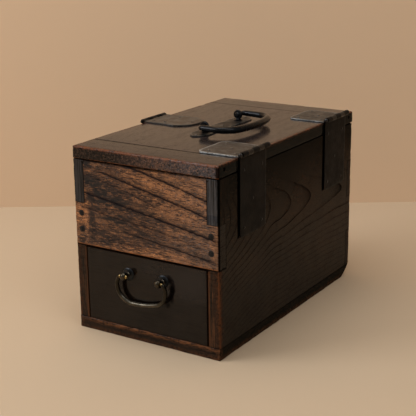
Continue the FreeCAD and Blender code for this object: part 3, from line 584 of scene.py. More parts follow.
golden = (0.480, 0.330, 0.130)
finishes = {
    "panel": panel_wood(),
    "right_side": side_wood("dark_side_board", 1),
    "left_side": side_wood("dark_left_board", -1),
    "lid": lid_wood("lid_board", 0, (0.8, 10, 0.8), (7, 60, 20)),
    "cleat": lid_wood("lid_cleat", 1, (10, 0.8, 0.8), (60, 7, 20), True),
    "base": rail_wood(),
    "back": back_wood(),
    "drawer": drawer_wood(),
    "inside_x": inner_wood("inner_board_x", 1, (9, 0.9, 0.9)),
    "inside_y": inner_wood("inner_board_y", 0, (0.9, 9, 0.9)),
    "peg": peg_end_wood("peg_end", 1.0),
    "plug": peg_end_wood("plug_end", 0.04),
    "leaf_iron": iron("forged_plate", (0.054, 0.059, 0.063), (0.480, 0.510, 0.520), 0.44, 0.7, rear_shade=0.55),
    "plate_iron": iron("forged_handle_plate", (0.010, 0.012, 0.014), (0.080, 0.083, 0.084), 0.44, 0.6, 0.25),
    "hasp_iron": iron("forged_hasp_plate", (0.078, 0.078, 0.074), (0.045, 0.043, 0.040), 0.46, 0.6),
    "side_iron": iron("forged_side_plate", (0.0085, 0.0112, 0.0085), (0.0085, 0.0105, 0.0080), 0.45, 0.4, 0.0,
                      black_edges=[low.y for low, _ in side_leaves]),
    "bail_iron": iron("forged_bail", (0.0050, 0.0062, 0.0085), (0.060, 0.058, 0.056), 0.20, 0.5, 0.3),
    "pin": iron("pin_head", (0.020, 0.021, 0.023), (0.200, 0.200, 0.200), 0.18, 0.6, 0.6, False),
    "nail": iron("nail_head", (0.060, 0.058, 0.054), (0.200, 0.198, 0.190), 0.42, 0.8),
    "side_nail": iron("side_nail_head", (0.006, 0.006, 0.005), (0.022, 0.022, 0.019), 0.5, 0.4, 0.2),
    "bronze": bronze("drawer_bronze", (0.070, 0.058, 0.042), golden, 0.3),
    "bail_bronze": bronze("bail_bronze", (0.115, 0.102, 0.080), golden, 0.3, 53.0),
    "brass": bronze("rose_brass", (0.030, 0.033, 0.037), (0.200, 0.190, 0.160), 0.36),
}


def on_axes(axes, a, b, level=0.0):
    """A place from its coordinates along two axes and along the third."""
    place = Vector()
    place[axes[0]], place[axes[1]], place[3 - sum(axes)] = a, b, level
    return place


def slab(outline, axes, low, high, holes=()):
    """A board with the outline in the plane of two axes, from low to high along the third."""
    bm = bmesh.new()
    edges = []
    for loop in (outline, *holes):
        corners = [bm.verts.new(on_axes(axes, a, b, low)) for a, b in loop]
        edges += [bm.edges.new(pair) for pair in zip(corners, corners[1:] + corners[:1])]
    if holes:
        bmesh.ops.triangle_fill(bm, edges=edges, use_beauty=True)
    else:
        bmesh.ops.contextual_create(bm, geom=edges)
    grown = bmesh.ops.extrude_face_region(bm, geom=bm.faces[:])["geom"]
    bmesh.ops.translate(bm, vec=on_axes(axes, 0.0, 0.0, high - low),
                        verts=[v for v in grown if isinstance(v, bmesh.types.BMVert)])
    bmesh.ops.recalc_face_normals(bm, faces=bm.faces)
    return bm


def block(axes, a0, b0, a1, b1, low, high):
    return slab([(a0, b0), (a1, b0), (a1, b1), (a0, b1)], axes, low, high)


def saw(bm, axis, levels):
    """Cuts the mesh across an axis at each level, without parting it."""
    across = Vector()
    across[axis] = 1.0
    for level in levels:
        bmesh.ops.bisect_plane(bm, geom=bm.verts[:] + bm.edges[:] + bm.faces[:], dist=0.001,
                               plane_co=across * level, plane_no=across)


def grid(bm, pitch, axes=(0, 1, 2)):
    """Cuts the mesh into cells of about the pitch."""
    for axis in axes:
        low = min(v.co[axis] for v in bm.verts)
        high = max(v.co[axis] for v in bm.verts)
        count = max(1, round((high - low) / pitch))
        saw(bm, axis, [low + (high - low) * i / count for i in range(1, count)])


def sharp_edges(bm, wanted=lambda place: True, angle=40):
    return [e for e in bm.edges if len(e.link_faces) == 2 and e.calc_face_angle() > radians(angle)
            and wanted((e.verts[0].co + e.verts[1].co) / 2)]


def ease(bm, edges, radius, segments):
    """Rounds the edges."""
    if not edges:
        return []
    return bmesh.ops.bevel(bm, geom=edges, offset=radius, offset_type="OFFSET", segments=segments, profile=0.5,
                           affect="EDGES", material=-1, clamp_overlap=True)["verts"]


def line_distance(place, line):
    """How far a place is from an arris that is given by its two fixed coordinates."""
    return sqrt(sum((place[i] - fixed) ** 2 for i, fixed in enumerate(line) if fixed is not None))


def rub(bm, lines, reach, depth, seed):
    """Wears the surface down near the arrises and keeps the wear at each vertex."""
    layer = bm.verts.layers.float.new("wear")
    bm.normal_update()
    shifts = []
    for v in bm.verts:
        nearest = min((line_distance(v.co, line) for line in lines), default=reach)
        closeness = max(0.0, 1 - nearest / reach)
        patch = 0.5 + 0.5 * ripple(v.co / 17.0 + Vector((seed, seed, seed)))
        nick = max(0.0, ripple(v.co / 4.5 + Vector((seed, 0, seed))) - 0.15)
        swell = ripple(v.co / 60.0 + Vector((0, seed, 0))) * 0.12
        v[layer] = min(1.0, closeness * (0.35 + 1.3 * patch))
        shifts.append(-v.normal * (closeness * depth * (0.5 * patch + 1.4 * nick)) + v.normal * swell)
    for v, shift in zip(bm.verts, shifts):
        v.co += shift


def piece(name, bm, body, finish, replaced=()):
    """Turns the mesh into a piece of the part, in metres."""
    bmesh.ops.scale(bm, vec=(MM, MM, MM), verts=bm.verts)
    mesh = bpy.data.meshes.new(name)
    bm.to_mesh(mesh)
    bm.free()
    mesh.shade_smooth()
    mesh.set_sharp_from_angle(angle=radians(32))
    mesh.materials.append(finishes[finish])
    made = bpy.data.objects.new(name, mesh)
    bpy.context.scene.collection.objects.link(made)
    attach(made, body)
    if replaced:
        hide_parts(*replaced)


def board(node, bm, body, finish, arrises, seed, cuts=(), pitch=4.0, wide=2.0, reach=7.0, depth=0.9):
    """Finishes a board: cut through its notches' corners first, outer arrises rounded and rubbed, joint
    edges barely eased, and nothing outside the node's box."""
    seam = bm.verts.layers.float.new("seam")
    for axis, level in cuts:
        saw(bm, axis, [level])
    grid(bm, pitch)
    ease(bm, sharp_edges(bm, lambda place: any(line_distance(place, line) < 0.01 for line in arrises)), wide, 3)
    joints = sharp_edges(bm, lambda place: not any(line_distance(place, line) < wide + 0.1 for line in arrises))
    for v in ease(bm, joints, 0.35, 1):
        v[seam] = 1.0
    rub(bm, arrises, reach, depth, seed)
    low, high = extent(node)
    for v in bm.verts:
        v.co = Vector(min(max(c, a), b) for c, a, b in zip(v.co, low, high))
    piece(node + "_dressed", bm, body, finish, [node])


def rear_finger_levels():
    """The side boards' notches for the back's fingers, from low to high."""
    pitch = (body_top - base_top) / rear_fingers
    return [(base_top + i * pitch, base_top + (i + 1) * pitch) for i in range(0, rear_fingers, 2)]


def relief_point(share):
    """A place on the rounding worn along the rear edge of the base, as y and z."""
    bulge = 4 * share * (1 - share) * relief_bulge_share
    return (rear - relief_length * (1 - share) + relief_height * bulge,
            relief_height * share - relief_length * bulge)


def make_side_board(name, side):
    outline = [(front, base_top)]
    for low, high in rear_finger_levels():
        outline += [(inner_rear, low), (inner_rear, high), (rear, high), (rear, high + (high - low))]
    outline += [(front, body_top), (front, split_level), (inner_front, split_level), (inner_front, opening_top),
                (front, opening_top)]
    low, high = extent(name + "_board")
    cuts = [(1, inner_rear), (1, inner_front), (2, split_level), (2, opening_top)]
    cuts += [(2, level) for pair in rear_finger_levels() for level in pair]
    arrises = [(side * right, front, None), (side * right, rear, None)]
    board(name + "_board", slab(outline, (1, 2), low.x, high.x), "carcase", name, arrises, 2.0 + side,
          cuts)


def make_front_panel():
    outline = [(-right, opening_top), (right, opening_top), (right, split_level), (inner_half, split_level),
               (inner_half, body_top), (-inner_half, body_top), (-inner_half, split_level), (-right, split_level)]
    board("front_panel", slab(outline, (0, 2), front, inner_front), "carcase", "panel",
          [(right, front, None), (-right, front, None)], 5.0,
          [(2, split_level), (0, inner_half), (0, -inner_half)], 3.5)


def make_back_panel():
    (low_a, high_a), (low_b, high_b) = rear_finger_levels()
    right_side = [(right, low_a), (right, high_a), (inner_half, high_a), (inner_half, low_b),
                  (right, low_b), (right, high_b), (inner_half, high_b), (inner_half, body_top)]
    outline = right_side + [(-x, z) for x, z in reversed(right_side)]
    board("back_panel", slab(outline, (0, 2), inner_rear, rear), "carcase", "back",
          [(right, rear, None), (-right, rear, None), (None, rear, base_top)], 7.0,
          [(2, high_a), (2, low_b), (2, high_b), (0, inner_half), (0, -inner_half)], 4.5)


def make_bottom_board():
    outline = [(front, 0.0), *map(relief_point, (0.0, 0.3, 0.6, 0.874)), (front, base_top)]
    arrises = [(right, None, 0.0), (-right, None, 0.0), (None, front, 0.0), (None, front, base_top),
               (right, front, None), (-right, front, None)]
    board("bottom_board", slab(outline, (1, 2), -right, right), "carcase", "base", arrises, 9.0,
          wide=1.6)


def make_lid():
    low, high = lid_low, lid_high
    arrises = [(x, None, z) for x in (low.x, high.x) for z in (low.z, high.z)]
    board("lid_panel", block((0, 1), low.x, cleat_high.y, high.x, -cleat_high.y, low.z, high.z), "lid", "lid",
          arrises, 11.0, wide=1.5)
    for name, side in (("lid_front_cleat", -1), ("lid_rear_cleat", 1)):
        low, high = extent(name)
        outer = low.y if side < 0 else high.y
        arrises = [(None, outer, low.z), (None, outer, high.z)]
        for x in (low.x, high.x):
            arrises += [(x, None, low.z), (x, None, high.z), (x, outer, None)]
        board(name, block((0, 1), low.x, low.y, high.x, high.y, low.z, high.z), "lid", "cleat", arrises,
              13.0 + side, (), 3.5, 1.8)


def make_drawer_face():
    low, high = drawer_low, drawer_high
    arrises = [(low.x, low.y, None), (high.x, low.y, None), (None, low.y, low.z), (None, low.y, high.z)]
    board("drawer_front", block((0, 2), low.x, low.z, high.x, high.z, low.y, high.y), "drawer", "drawer",
          arrises, 17.0, wide=1.0, reach=4.0, depth=0.5)


def arc(start, middle, end, steps=8):
    """Points along the circle through three points, from the start to the end."""
    (ax, ay), (bx, by), (cx, cy) = start, middle, end
    twice = 2 * (ax * (by - cy) + bx * (cy - ay) + cx * (ay - by))
    aa, bb, cc = ax * ax + ay * ay, bx * bx + by * by, cx * cx + cy * cy
    x = (aa * (by - cy) + bb * (cy - ay) + cc * (ay - by)) / twice
    y = (aa * (cx - bx) + bb * (ax - cx) + cc * (bx - ax)) / twice
    radius = sqrt((ax - x) ** 2 + (ay - y) ** 2)
    first, between, last = [atan2(p[1] - y, p[0] - x) for p in (start, middle, end)]
    sweep = (last - first) % (2 * pi)
    if (between - first) % (2 * pi) > sweep:
        sweep -= 2 * pi
    turns = [first + sweep * i / steps for i in range(steps + 1)]
    return [(x + radius * cos(turn), y + radius * sin(turn)) for turn in turns]


def outline_gap(a, b, outline):
    """How far a point in the plate's plane is from its outline."""
    nearest = 1e9
    for (x0, y0), (x1, y1) in zip(outline, outline[1:] + outline[:1]):
        run_x, run_y = x1 - x0, y1 - y0
        share = ((a - x0) * run_x + (b - y0) * run_y) / (run_x ** 2 + run_y ** 2)
        share = min(1.0, max(0.0, share))
        nearest = min(nearest, sqrt((a - x0 - run_x * share) ** 2 + (b - y0 - run_y * share) ** 2))
    return nearest


def plate(outline, axes, low, high, seed, holes=()):
    """A forged plate: its rim rounded, nibbled and rubbed, its outer face a little uneven."""
    reach = 3.6
    bm = slab(outline, axes, low, high, holes)
    grid(bm, 3.2, axes)
    ease(bm, sharp_edges(bm), 0.45, 2)
    layer = bm.verts.layers.float.new("wear")
    third = 3 - sum(axes)
    outer, outward = (high, 1) if abs(high) > abs(low) else (low, -1)
    middle = Vector((sum(a for a, b in outline), sum(b for a, b in outline))) / len(outline)
    for v in bm.verts:
        a, b = v.co[axes[0]], v.co[axes[1]]
        closeness = max(0.0, 1 - outline_gap(a, b, outline) / reach)
        patch = 0.5 + 0.5 * ripple(v.co / 11.0 + Vector((seed, 0, 0)))
        v[layer] = min(1.0, closeness ** 1.5 * (0.2 + 1.6 * patch))
        inward = (middle - Vector((a, b))).normalized()
        nibble = closeness * 0.5 * max(0.0, ripple(v.co / 6.0 + Vector((0, seed, 0))) + 0.1)
        v.co[axes[0]] += inward.x * nibble
        v.co[axes[1]] += inward.y * nibble
        if v.co[third] == outer:
            v.co[third] += 0.12 * (ripple(v.co / 9.0 + Vector((0, 0, seed))) - 1) * outward
    return bm


def together(parts):
    """One mesh of several."""
    whole = parts[0]
    if "wear" not in whole.verts.layers.float:
        whole.verts.layers.float.new("wear")
    for part in parts[1:]:
        spare = bpy.data.meshes.new("spare")
        part.to_mesh(spare)
        part.free()
        whole.from_mesh(spare)
        bpy.data.meshes.remove(spare)
    return whole


def turned(profile, place, way, steps=24, closed=False):
    """A turned piece: radius and height pairs spun about an axis from the place along the way."""
    bm = bmesh.new()
    verts = [bm.verts.new((radius, 0.0, level)) for radius, level in profile]
    edges = [bm.edges.new(pair) for pair in zip(verts, verts[1:])]
    if closed:
        edges.append(bm.edges.new((verts[-1], verts[0])))
    bmesh.ops.spin(bm, geom=verts + edges, cent=(0, 0, 0), axis=(0, 0, 1), angle=2 * pi, steps=steps,
                   use_merge=True)
    bmesh.ops.remove_doubles(bm, verts=bm.verts, dist=0.001)
    bmesh.ops.recalc_face_normals(bm, faces=bm.faces)
    turn = Vector((0, 0, 1)).rotation_difference(Vector(way)).to_matrix().to_4x4()
    bmesh.ops.transform(bm, matrix=Matrix.Translation(place) @ turn, verts=bm.verts)
    return bm


def nails(name, body, places, way, radius=2.3, rise=1.0, finish="nail"):
    """Hand-made domed nails, a little sunk into their plate, no two quite alike."""
    chance = random.Random(name)
    steps, sunk = 5, 0.3
    parts = []
    for place in places:
        size = radius * chance.uniform(0.88, 1.08)
        lean = Vector(way) + Vector([chance.uniform(-0.09, 0.09) for _ in range(3)])
        height = rise * chance.uniform(0.8, 1.15)
        turns = [pi / 2 * i / steps for i in range(steps + 1)]
        profile = [(size * sin(turn), height * cos(turn)) for turn in turns] + [(size, -sunk), (0.0, -sunk)]
        bm = turned(profile, place, lean, 14)
        wear = bm.verts.layers.float.new("wear")
        for v in bm.verts:
            v[wear] = max(0.0, (v.co - Vector(place)).dot(Vector(way)) / rise) ** 2
        parts.append(bm)
    piece(name, together(parts), body, finish)


def knuckle(pin, radius, wall, first, sweep, low, high):
    """The end of a leaf rolled round its pin: a strip spun about the hinge's axis on Y."""
    bm = bmesh.new()
    corners = [(radius, low), (radius, high), (radius - wall, high), (radius - wall, low)]
    strip = bm.faces.new([bm.verts.new((pin[0] + r * cos(first), y, pin[1] + r * sin(first))) for r, y in corners])
    bmesh.ops.spin(bm, geom=[strip] + strip.edges[:] + strip.verts[:], cent=(pin[0], 0, pin[1]), axis=(0, -1, 0),
                   angle=sweep, steps=20)
    bmesh.ops.recalc_face_normals(bm, faces=bm.faces)
    ease(bm, sharp_edges(bm, angle=60), 0.22, 1)
    wear = bm.verts.layers.float.new("wear")
    for v in bm.verts:
        rim = 1 - min(v.co.y - low, high - v.co.y) / 1.2
        v[wear] = 0.25 + 0.5 * max(0.0, rim)
    return bm


def knuckle_rows(middle, width, taken, gap=0.3):
    """Where the taken knuckles begin and end along Y, with a gap between neighbours."""
    pitch = width / knuckle_count
    start = middle - width / 2
    return [(start + i * pitch + (gap / 2 if i else 0),
             start + (i + 1) * pitch - (gap / 2 if i < knuckle_count - 1 else 0)) for i in taken]


def axis_of(node):
    """Where a pin on Y runs, as x and z, its middle along Y and half its length."""
    low, high = extent(node)
    return ((low.x + high.x) / 2, (low.z + high.z) / 2), (low.y + high.y) / 2, (high.y - low.y) / 2


def make_hinge(name):
    pin, middle, _ = axis_of(name + "_hinge_pin")
    pin_x, pin_z = pin
    radius = pin_x - right
    half = hinge_width / 2
    near, far = middle - half, middle + half
    edge = radius + 0.6
    lap = 0.5

    tip = extent(name + "_hinge_lid_leaf")[0].x
    face = lid_top + leaf_thickness
    outline = [(pin_x - edge, near), (pin_x - edge, far), (tip + 5, far), (tip, far - 7), (tip, near + 7),
               (tip + 5, near)]
    parts = [plate(outline, (0, 1), lid_top, face, middle)]
    for low, high in knuckle_rows(middle, hinge_width, (1, 3)):
        parts += [block((0, 1), pin_x - edge - lap, low, pin_x, high, lid_top, face),
                  knuckle(pin, radius, leaf_thickness, -pi / 2, radians(300), low, high)]
    piece(name + "_lid_strap", together(parts), "lid", "leaf_iron", [name + "_hinge_lid_leaf"])
    places = [(tip + 11, near + 10), (tip + 10, far - 10.5), (tip + 29, middle + 1), (pin_x - 13, near + 9.5),
              (pin_x - 12.5, far - 9.5)]
    nails(name + "_lid_strap_nails", "lid", [(x, y, face) for x, y in places], (0, 0, 1))

    foot = extent(name + "_hinge_side_leaf")[0].z
    face = right + leaf_thickness
    corner = 6.0
    slant = corner * (1 - sqrt(0.5))
    outline = [(near, pin_z - edge), (far, pin_z - edge)]
    outline += arc((far, foot + corner), (far - slant, foot + slant), (far - corner, foot), 5)
    outline += arc((near + corner, foot), (near + slant, foot + slant), (near, foot + corner), 5)
    parts = [plate(outline, (1, 2), right, face, middle + 3)]
    for low, high in knuckle_rows(middle, hinge_width, (0, 2, 4)):
        parts += [block((1, 2), low, pin_z - edge - lap, high, pin_z, right, face),
                  knuckle(pin, radius, leaf_thickness, pi, radians(-300), low, high)]
    piece(name + "_side_strap", together(parts), "carcase", "side_iron", [name + "_hinge_side_leaf"])
    places = [(near + 10, foot + 11), (far - 11, foot + 10), (middle - 1, foot + 42), (near + 9.5, pin_z - 19),
              (far - 10, pin_z - 20)]
    nails(name + "_side_strap_nails", "carcase", [(face, y, z) for y, z in places], (1, 0, 0), 2.0, 0.7,
          "side_nail")
    make_pin(name + "_hinge_pin", "carcase", 3.2, "pin")


def make_pin(node, body, head_radius, finish):
    """A hinge pin with both ends hammered over."""
    (x, z), middle, reach = axis_of(node)
    half_profile = [(head_radius * share, reach - step) for share, step in (
        (0.0, 0.0), (0.47, 0.15), (0.78, 0.6), (0.95, 1.2), (1.0, 1.8), (0.91, 2.3))] + [(pin_radius, reach - 2.6)]
    profile = half_profile + [(r, -level) for r, level in reversed(half_profile)]
    bm = turned(profile, (x, middle, z), (0, 1, 0), 16)
    piece(node + "_wire", together([bm]), body, finish, [node])


def make_hasp():
    (x, z), _, _ = axis_of("hasp_pin")
    left = -right
    edge = left + 0.6
    lap = 0.5
    face = lid_top + hasp_thickness
    half, flare = 26, 28
    outline = [(edge, half), (edge, -half), (left + 30, -half)]
    outline += arc((left + 46, -flare), (left + 68, 0), (left + 46, flare), 18)
    outline += [(left + 30, half)]
    parts = [plate(outline, (0, 1), lid_top, face, 21.0)]
    bore = 1.75
    for low, high in knuckle_rows(0, hasp_width, (0, 2, 4)):
        tube = [(bore, 0.0), (hasp_barrel, 0.0), (hasp_barrel, high - low), (bore, high - low)]
        parts += [block((0, 1), x, low, edge + lap, high, lid_top, face),
                  turned(tube, (x, low, z), (0, 1, 0), 20, True)]
    piece("hasp_leaf_forged", together(parts), "lid", "hasp_iron", ["hasp_lid_leaf"])
    places = [(left + 9, 17), (left + 9, -17), (left + 27, 17), (left + 27, -17), (left + 58, 0)]
    nails("hasp_leaf_nails", "lid", [(a, b, face) for a, b in places], (0, 0, 1))

    top = z - hasp_barrel - 0.6
    outer = x + hasp_barrel - hasp_thickness
    rows = knuckle_rows(0, hasp_width, (1, 3))
    half = rows[-1][1]
    tip_radius = 10.0
    slot_middle, slot_reach, slot_half = z - 42, 8.5, 2.3
    waist = slot_middle - slot_reach + slot_half
    outline = [(-half, top), (half, top), (tip_radius, waist + tip_radius)]
    outline += arc((tip_radius, waist), (0, waist - tip_radius), (-tip_radius, waist), 12)
    outline += [(-tip_radius, waist + tip_radius)]
    slot = []
    for side in (-1, 1):
        shoulder = slot_middle + side * (slot_reach - slot_half)
        slot += arc((-side * slot_half, shoulder), (0, slot_middle + side * slot_reach), (side * slot_half, shoulder),
                    6)
    parts = [plate(outline, (1, 2), outer, outer + hasp_thickness, 25.0, [slot])]
    for low, high in rows:
        parts += [block((1, 2), low, top - lap, high, z, outer, outer + hasp_thickness),
                  knuckle((x, z), hasp_barrel, hasp_thickness - 0.55, 0.0, radians(300), low, high)]
    piece("hasp_strap_forged", together(parts), "hasp", "side_iron", ["hasp_strap"])
    make_pin("hasp_pin", "lid", 2.3, "side_iron")


def bar(stations, sides=20):
    """A round bar through stations of place, heading in the XY plane, radius and wear."""
    bm = bmesh.new()
    wear = bm.verts.layers.float.new("wear")
    ring = bmesh.ops.create_circle(bm, segments=sides, radius=1.0, cap_ends=True)["verts"]
    before = Matrix()
    for number, (place, heading, radius, worn) in enumerate(stations):
        if number:
            edges = [e for e in bm.edges if e.verts[0] in ring and e.verts[1] in ring]
            grown = bmesh.ops.extrude_edge_only(bm, edges=edges)["geom"]
            ring = [v for v in grown if isinstance(v, bmesh.types.BMVert)]
        now = Matrix.Translation((*place, 0)) @ Matrix.Rotation(heading, 4, "Z") @ Matrix.Rotation(pi / 2, 4, "Y")
        now = now @ Matrix.Scale(radius, 4)
        bmesh.ops.transform(bm, matrix=now @ before.inverted(), verts=ring)
        before = now
        for v in ring:
            v[wear] = worn
    bmesh.ops.contextual_create(bm, geom=[e for e in bm.edges if e.verts[0] in ring and e.verts[1] in ring])
    bmesh.ops.recalc_face_normals(bm, faces=bm.faces)
    return bm


def bent_stations(start, runs, thin, thick):
    """Stations along straight runs (length, 0) and bends (radius, angle), thickest in the middle."""
    place = Vector((start, 0.0))
    heading = pi
    found = [(place.copy(), heading)]
    for size, angle in runs:
        steps = 3 * (1 if angle == 0 else max(1, round(angle / (pi / 10))))
        for _ in range(steps):
            turn = angle / steps
            length = size / steps if angle == 0 else 2 * size * sin(turn / 2)
            place = place + Vector((cos(heading + turn / 2), sin(heading + turn / 2))) * length
            heading += turn
            found.append((place.copy(), heading))
    last = len(found) - 1
    return [(p, h, thin + (thick - thin) * (1 - abs(2 * i / last - 1) ** 1.8), 0.0)
            for i, (p, h) in enumerate(found)]


def peened_ends(stations, inner, radius, worn):
    """Adds the pins that pass through the eyes and are hammered over inside them."""
    steps = [(1.6, 0.8), (0.96, 1.15), (0.05, 1.42), (0.0, 1.0)]
    first = [(Vector((step - inner, 0)), pi, radius * share, worn) for step, share in steps]
    last = [(Vector((inner - step, 0)), stations[-1][1], radius * share, worn) for step, share in reversed(steps)]
    return first + stations + last


def crown_radius(half, corner, crown):
    return corner + (half - corner) / sin(crown)


def corner_depth(half, reach, corner, crown):
    """How far down a bail its corners' centres are."""
    radius = crown_radius(half, corner, crown)
    return reach - radius + (radius - corner) * cos(crown)


def make_lid_handle():
    far_low, far_high = extent("lid_handle_rear_post")
    post_y = (far_low.y + far_high.y) / 2
    eye_z = extent("lid_handle_front_post")[1].z - 6.2
    plate_top = extent("lid_handle_plate")[1].z
    half, straight_half, tip = 12.5, 50.0, 67.0
    bulge_x = half * 0.68
    bulge_y = straight_half + (tip - straight_half) * 0.64
    outline = []
    for side in (1, -1):
        outline += arc((side * half, side * straight_half), (side * bulge_x, side * bulge_y), (0, side * tip))[:-1]
        outline += arc((0, side * tip), (-side * bulge_x, side * bulge_y), (-side * half, side * straight_half))
    piece("lid_handle_plate_forged", together([plate(outline, (0, 1), lid_top, plate_top, 31.0)]), "lid",
          "plate_iron", ["lid_handle_plate"])
    places = [(0.5, 0), (0, -60), (0, 59.5)]
    nails("lid_handle_nails", "lid", [(a, b, plate_top) for a, b in places], (0, 0, 1), 2.1, 0.9)
    ring = [(2.5, -1.7), (2.8, -2.0), (4.9, -2.0), (5.7, -1.5), (6.1, -0.7), (6.2, 0.0), (6.1, 0.7), (5.7, 1.5),
            (4.9, 2.0), (2.8, 2.0), (2.5, 1.7)]
    neck = [(0.0, 0.0), (6.4, 0.0), (6.4, 0.35), (5.3, 0.8), (4.1, 1.2), (3.3, 1.8), (3.0, 2.4), (3.0, 3.0),
            (0.0, 3.0)]
    for name, y in (("lid_handle_front_post", -post_y), ("lid_handle_rear_post", post_y)):
        parts = [turned(ring, (0, y, eye_z), (0, 1, 0), 28, True), turned(neck, (0, y, plate_top), (0, 0, 1))]
        piece(name + "_forged", together(parts), "lid", "bail_iron", [name])
    crown = radians(14.7)
    reach, wide, elbow, corner, pin = 50.3, 52.5, 5.0, 24.0, 2.4
    arm = corner_depth(wide, reach, corner, crown) - elbow
    runs = [(elbow, pi / 2), (arm, 0), (corner, pi / 2 - crown), (crown_radius(wide, corner, crown), 2 * crown),
            (corner, pi / 2 - crown), (arm, 0), (elbow, pi / 2)]
    stations = bent_stations(elbow - wide, runs, pin, 4.5)
    bm = bar(peened_ends(stations, post_y - 2.4, pin, 0.0))
    lean = Matrix.Rotation(radians(0.8), 4, "Y")
    place = Matrix.Translation((0, 0, eye_z)) @ lean @ Matrix.Rotation(pi / 2, 4, "Z")
    bmesh.ops.transform(bm, matrix=place, verts=bm.verts)
    piece("lid_handle_bail_forged", bm, "lid_bail", "bail_iron", ["lid_handle_bail"])


def make_drawer_handle():
    low, high = extent("drawer_handle_left_post")
    post_x = -(low.x + high.x) / 2
    eye_y = low.y + 5.0
    eye_z = (low.z + high.z) / 2
    bead = [(2.0, -3.0), (4.0, -3.0), (4.6, -2.0), (4.92, -1.0), (5.0, 0.0), (4.92, 1.0), (4.6, 2.0), (4.0, 3.0),
            (2.0, 3.0)]
    neck = [(0.0, 0.0), (3.2, 0.0), (2.7, 0.7), (2.4, 1.6), (2.4, 5.5), (0.0, 5.5)]
    rose = [(8.0 * sin(a), 1.8 * cos(a)) for a in (0.0, 0.25, 0.5, 0.75, 1.0, 1.2, 1.4, pi / 2)]
    rose += [(8.0, -0.2), (0.0, -0.2)]
    for name, x in (("drawer_handle_left", -post_x), ("drawer_handle_right", post_x)):
        parts = [turned(bead, (x, eye_y, eye_z), (1, 0, 0), 24, True),
                 turned(neck, (x, front - 1.6, eye_z), (0, -1, 0), 20)]
        piece(name + "_eye", together(parts), "drawer", "bronze", [name + "_post"])
        piece(name + "_disc", together([turned(rose, (x, front, eye_z), (0, -1, 0), 32)]), "drawer", "brass",
              [name + "_rose"])
    half, drop, corner, elbow, pin = 35.2, 34.0, 20.0, 3.4, 1.9
    crown, skew, lean = radians(10.4), radians(8.0), radians(8.0)
    across = half - corner
    depth = corner_depth(half, drop, corner, crown)
    arms = []
    for side in (-1, 1):
        centre = across * cos(skew) - side * depth * sin(skew)
        fall = depth * cos(skew) - side * across * sin(skew)
        out = sqrt((corner - elbow) ** 2 - (fall - elbow) ** 2)
        turn = atan2(out, fall - elbow)
        arms.append((centre + out, turn, pi - crown - side * skew - turn))
    (left_x, left_elbow, left_corner), (_, right_elbow, right_corner) = arms
    runs = [(elbow, left_elbow), (corner, left_corner), (crown_radius(half, corner, crown), 2 * crown),
            (corner, right_corner), (elbow, right_elbow)]
    stations = bent_stations(-left_x, runs, pin, 2.8)
    last = len(stations) - 1
    stations = [(p, h, r, max(0.0, 1 - min(i, last - i) / 7.0)) for i, (p, h, r, _) in enumerate(stations)]
    bm = bar(peened_ends(stations, post_x - 3.4, pin, 1.0))
    place = Matrix.Translation((0, eye_y, eye_z)) @ Matrix.Rotation(pi / 2 + lean, 4, "X")
    bmesh.ops.transform(bm, matrix=place, verts=bm.verts)
    piece("drawer_handle_bail_cast", bm, "drawer_bail", "bail_bronze", ["drawer_handle_bail"])


def make_pegs():
    """Peg ends stand a hair proud of the boards, as they do once the boards have shrunk."""
    peg = [(0.0, 0.25), (1.9, 0.24), (2.8, 0.14), (peg_radius, -0.1), (peg_radius, -12.0), (0.0, -12.0)]
    for name, y, way, levels in (
        ("front_joint_pegs", front, (0, -1, 0), front_peg_levels),
        ("rear_joint_pegs", rear, (0, 1, 0), [(a + b) / 2 for a, b in rear_finger_levels()]),
    ):
        bm = together([turned(peg, (side * peg_x, y, z), way, 20) for side in (-1, 1) for z in levels])
        for v in bm.verts:
            v.co.y = min(rear, v.co.y)
        piece(name + "_ends", bm, "carcase", "peg", [name])
    plug = [(r * plug_radius / peg_radius, level) for r, level in peg]
    parts = [turned(plug, (x, y, plug_level), (way, 0, 0), 18)
             for y in (cleat_low.y + plug_inset, -cleat_low.y - plug_inset)
             for x, way in ((lid_high.x, 1), (lid_low.x, -1))]
    piece("lid_cleat_plug_ends", together(parts), "lid", "plug", ["lid_cleat_plugs"])


def finish_plain_nodes():
    """The CAD nodes that are shown as they are get their finishes."""
    kept = {
        "inside_x": ["drawer_shelf", "drawer_back", "drawer_bottom", "tray_front", "tray_back", "tray_bottom",
                     "tray_cross_divider"],
        "inside_y": ["left_tray_ledge", "right_tray_ledge", "drawer_left_side", "drawer_right_side",
                     "tray_left_side", "tray_right_side", "tray_long_divider"],
        "peg": ["drawer_joint_pegs"],
        "side_iron": ["hasp_staple"],
    }
    for finish, names in kept.items():
        for node in names:
            nodes[node].data.materials.clear()
            nodes[node].data.materials.append(finishes[finish])


# The photograph's viewpoint, solved from the corners of the closed box, in metres
eye = Vector((0.6833, -1.1023, 0.5134))
azimuth = radians(32.629)
elevation = radians(16.691)
roll = radians(-0.757)
level = Vector((cos(azimuth), sin(azimuth), 0.0))
ahead = Vector((-sin(azimuth), cos(azimuth), 0.0))


def make_camera():
    back = Vector((0.0, 0.0, sin(elevation))) - ahead * cos(elevation)
    rise = back.cross(level)
    across = level * cos(roll) + rise * sin(roll)
    up = rise * cos(roll) - level * sin(roll)
    lens = bpy.data.cameras.new("camera")
    lens.sensor_width = 36.0
    lens.lens = 90.04
    camera = bpy.data.objects.new("camera", lens)
    camera.matrix_world = Matrix.Translation(eye) @ Matrix((across, up, back)).transposed().to_4x4()
    bpy.context.scene.collection.objects.link(camera)
    bpy.context.scene.camera = camera


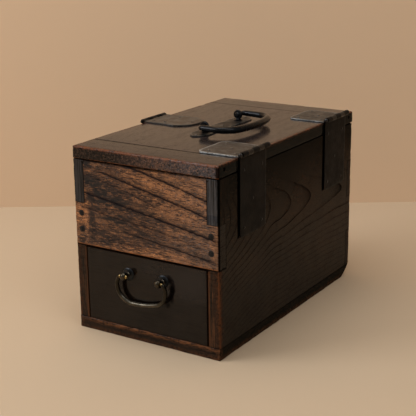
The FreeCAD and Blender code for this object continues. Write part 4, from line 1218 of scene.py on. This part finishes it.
def lamp(name, place, target, size, power):
    light = bpy.data.lights.new(name, "AREA")
    light.shape = "RECTANGLE"
    light.size, light.size_y = size
    light.energy = power
    made = bpy.data.objects.new(name, light)
    made.location = place
    made.rotation_mode = "QUATERNION"
    made.rotation_quaternion = (Vector(target) - Vector(place)).to_track_quat("-Z", "Y")
    bpy.context.scene.collection.objects.link(made)


def make_studio():
    """A pale floor that runs into a pale wall, and soft lamps to the left and above."""
    wall, reach, height = 1.733, 6.0, 4.0
    floor = [(-reach, -reach, 0), (reach, -reach, 0), (reach, wall, 0), (-reach, wall, 0)]
    backdrop = [(-reach, wall, 0), (reach, wall, 0), (reach, wall, height), (-reach, wall, height)]
    for name, tone, corners in (("floor", (0.62, 0.475, 0.325), floor), ("backdrop", (0.78, 0.56, 0.37), backdrop)):
        bm = bmesh.new()
        bm.faces.new([bm.verts.new(Vector((eye.x, eye.y, c)) + level * a + ahead * b) for a, b, c in corners])
        mesh = bpy.data.meshes.new(name)
        bm.to_mesh(mesh)
        bm.free()
        mesh.materials.append(stage_paint(name + "_paint", tone))
        made = bpy.data.objects.new(name, mesh)
        bpy.context.scene.collection.objects.link(made)
    lamp("window", (-1.5, -1.5, 1.3), (0.0, 0.0, 0.12), (1.1, 1.0), 21.5)
    lamp("top", (-0.2, -0.25, 1.8), (-0.1, 0.0, 0.2), (1.2, 1.2), 11.5)
    lamp("fill", (1.3, -0.7, 1.5), (0.9, -0.1, 0.0), (1.2, 1.2), 7)
    bpy.context.scene.view_settings.view_transform = "Standard"


def make_room():
    """The light of the room: a little brighter to the left than to the right."""
    world = bpy.data.worlds.new("room")
    world.use_nodes = True
    tree = world.node_tree
    way = tree.nodes.new("ShaderNodeTexCoord")
    parts = tree.nodes.new("ShaderNodeSeparateXYZ")
    tree.links.new(parts.inputs[0], way.outputs["Generated"])
    level = tree.nodes.new("ShaderNodeMapRange")
    tree.links.new(level.inputs["Value"], parts.outputs["X"])
    for name, value in (("From Min", -0.6), ("From Max", 0.7), ("To Min", 0.28), ("To Max", 0.235)):
        level.inputs[name].default_value = value
    background = tree.nodes["Background"]
    background.inputs["Color"].default_value = (1.0, 0.96, 0.90, 1.0)
    tree.links.new(background.inputs["Strength"], level.outputs["Result"])
    bpy.context.scene.world = world


make_camera()
make_studio()
make_room()
make_side_board("left_side", -1)
make_side_board("right_side", 1)
make_front_panel()
make_back_panel()
make_bottom_board()
make_lid()
make_drawer_face()
make_hinge("front")
make_hinge("rear")
make_hasp()
make_lid_handle()
make_drawer_handle()
make_pegs()
finish_plain_nodes()
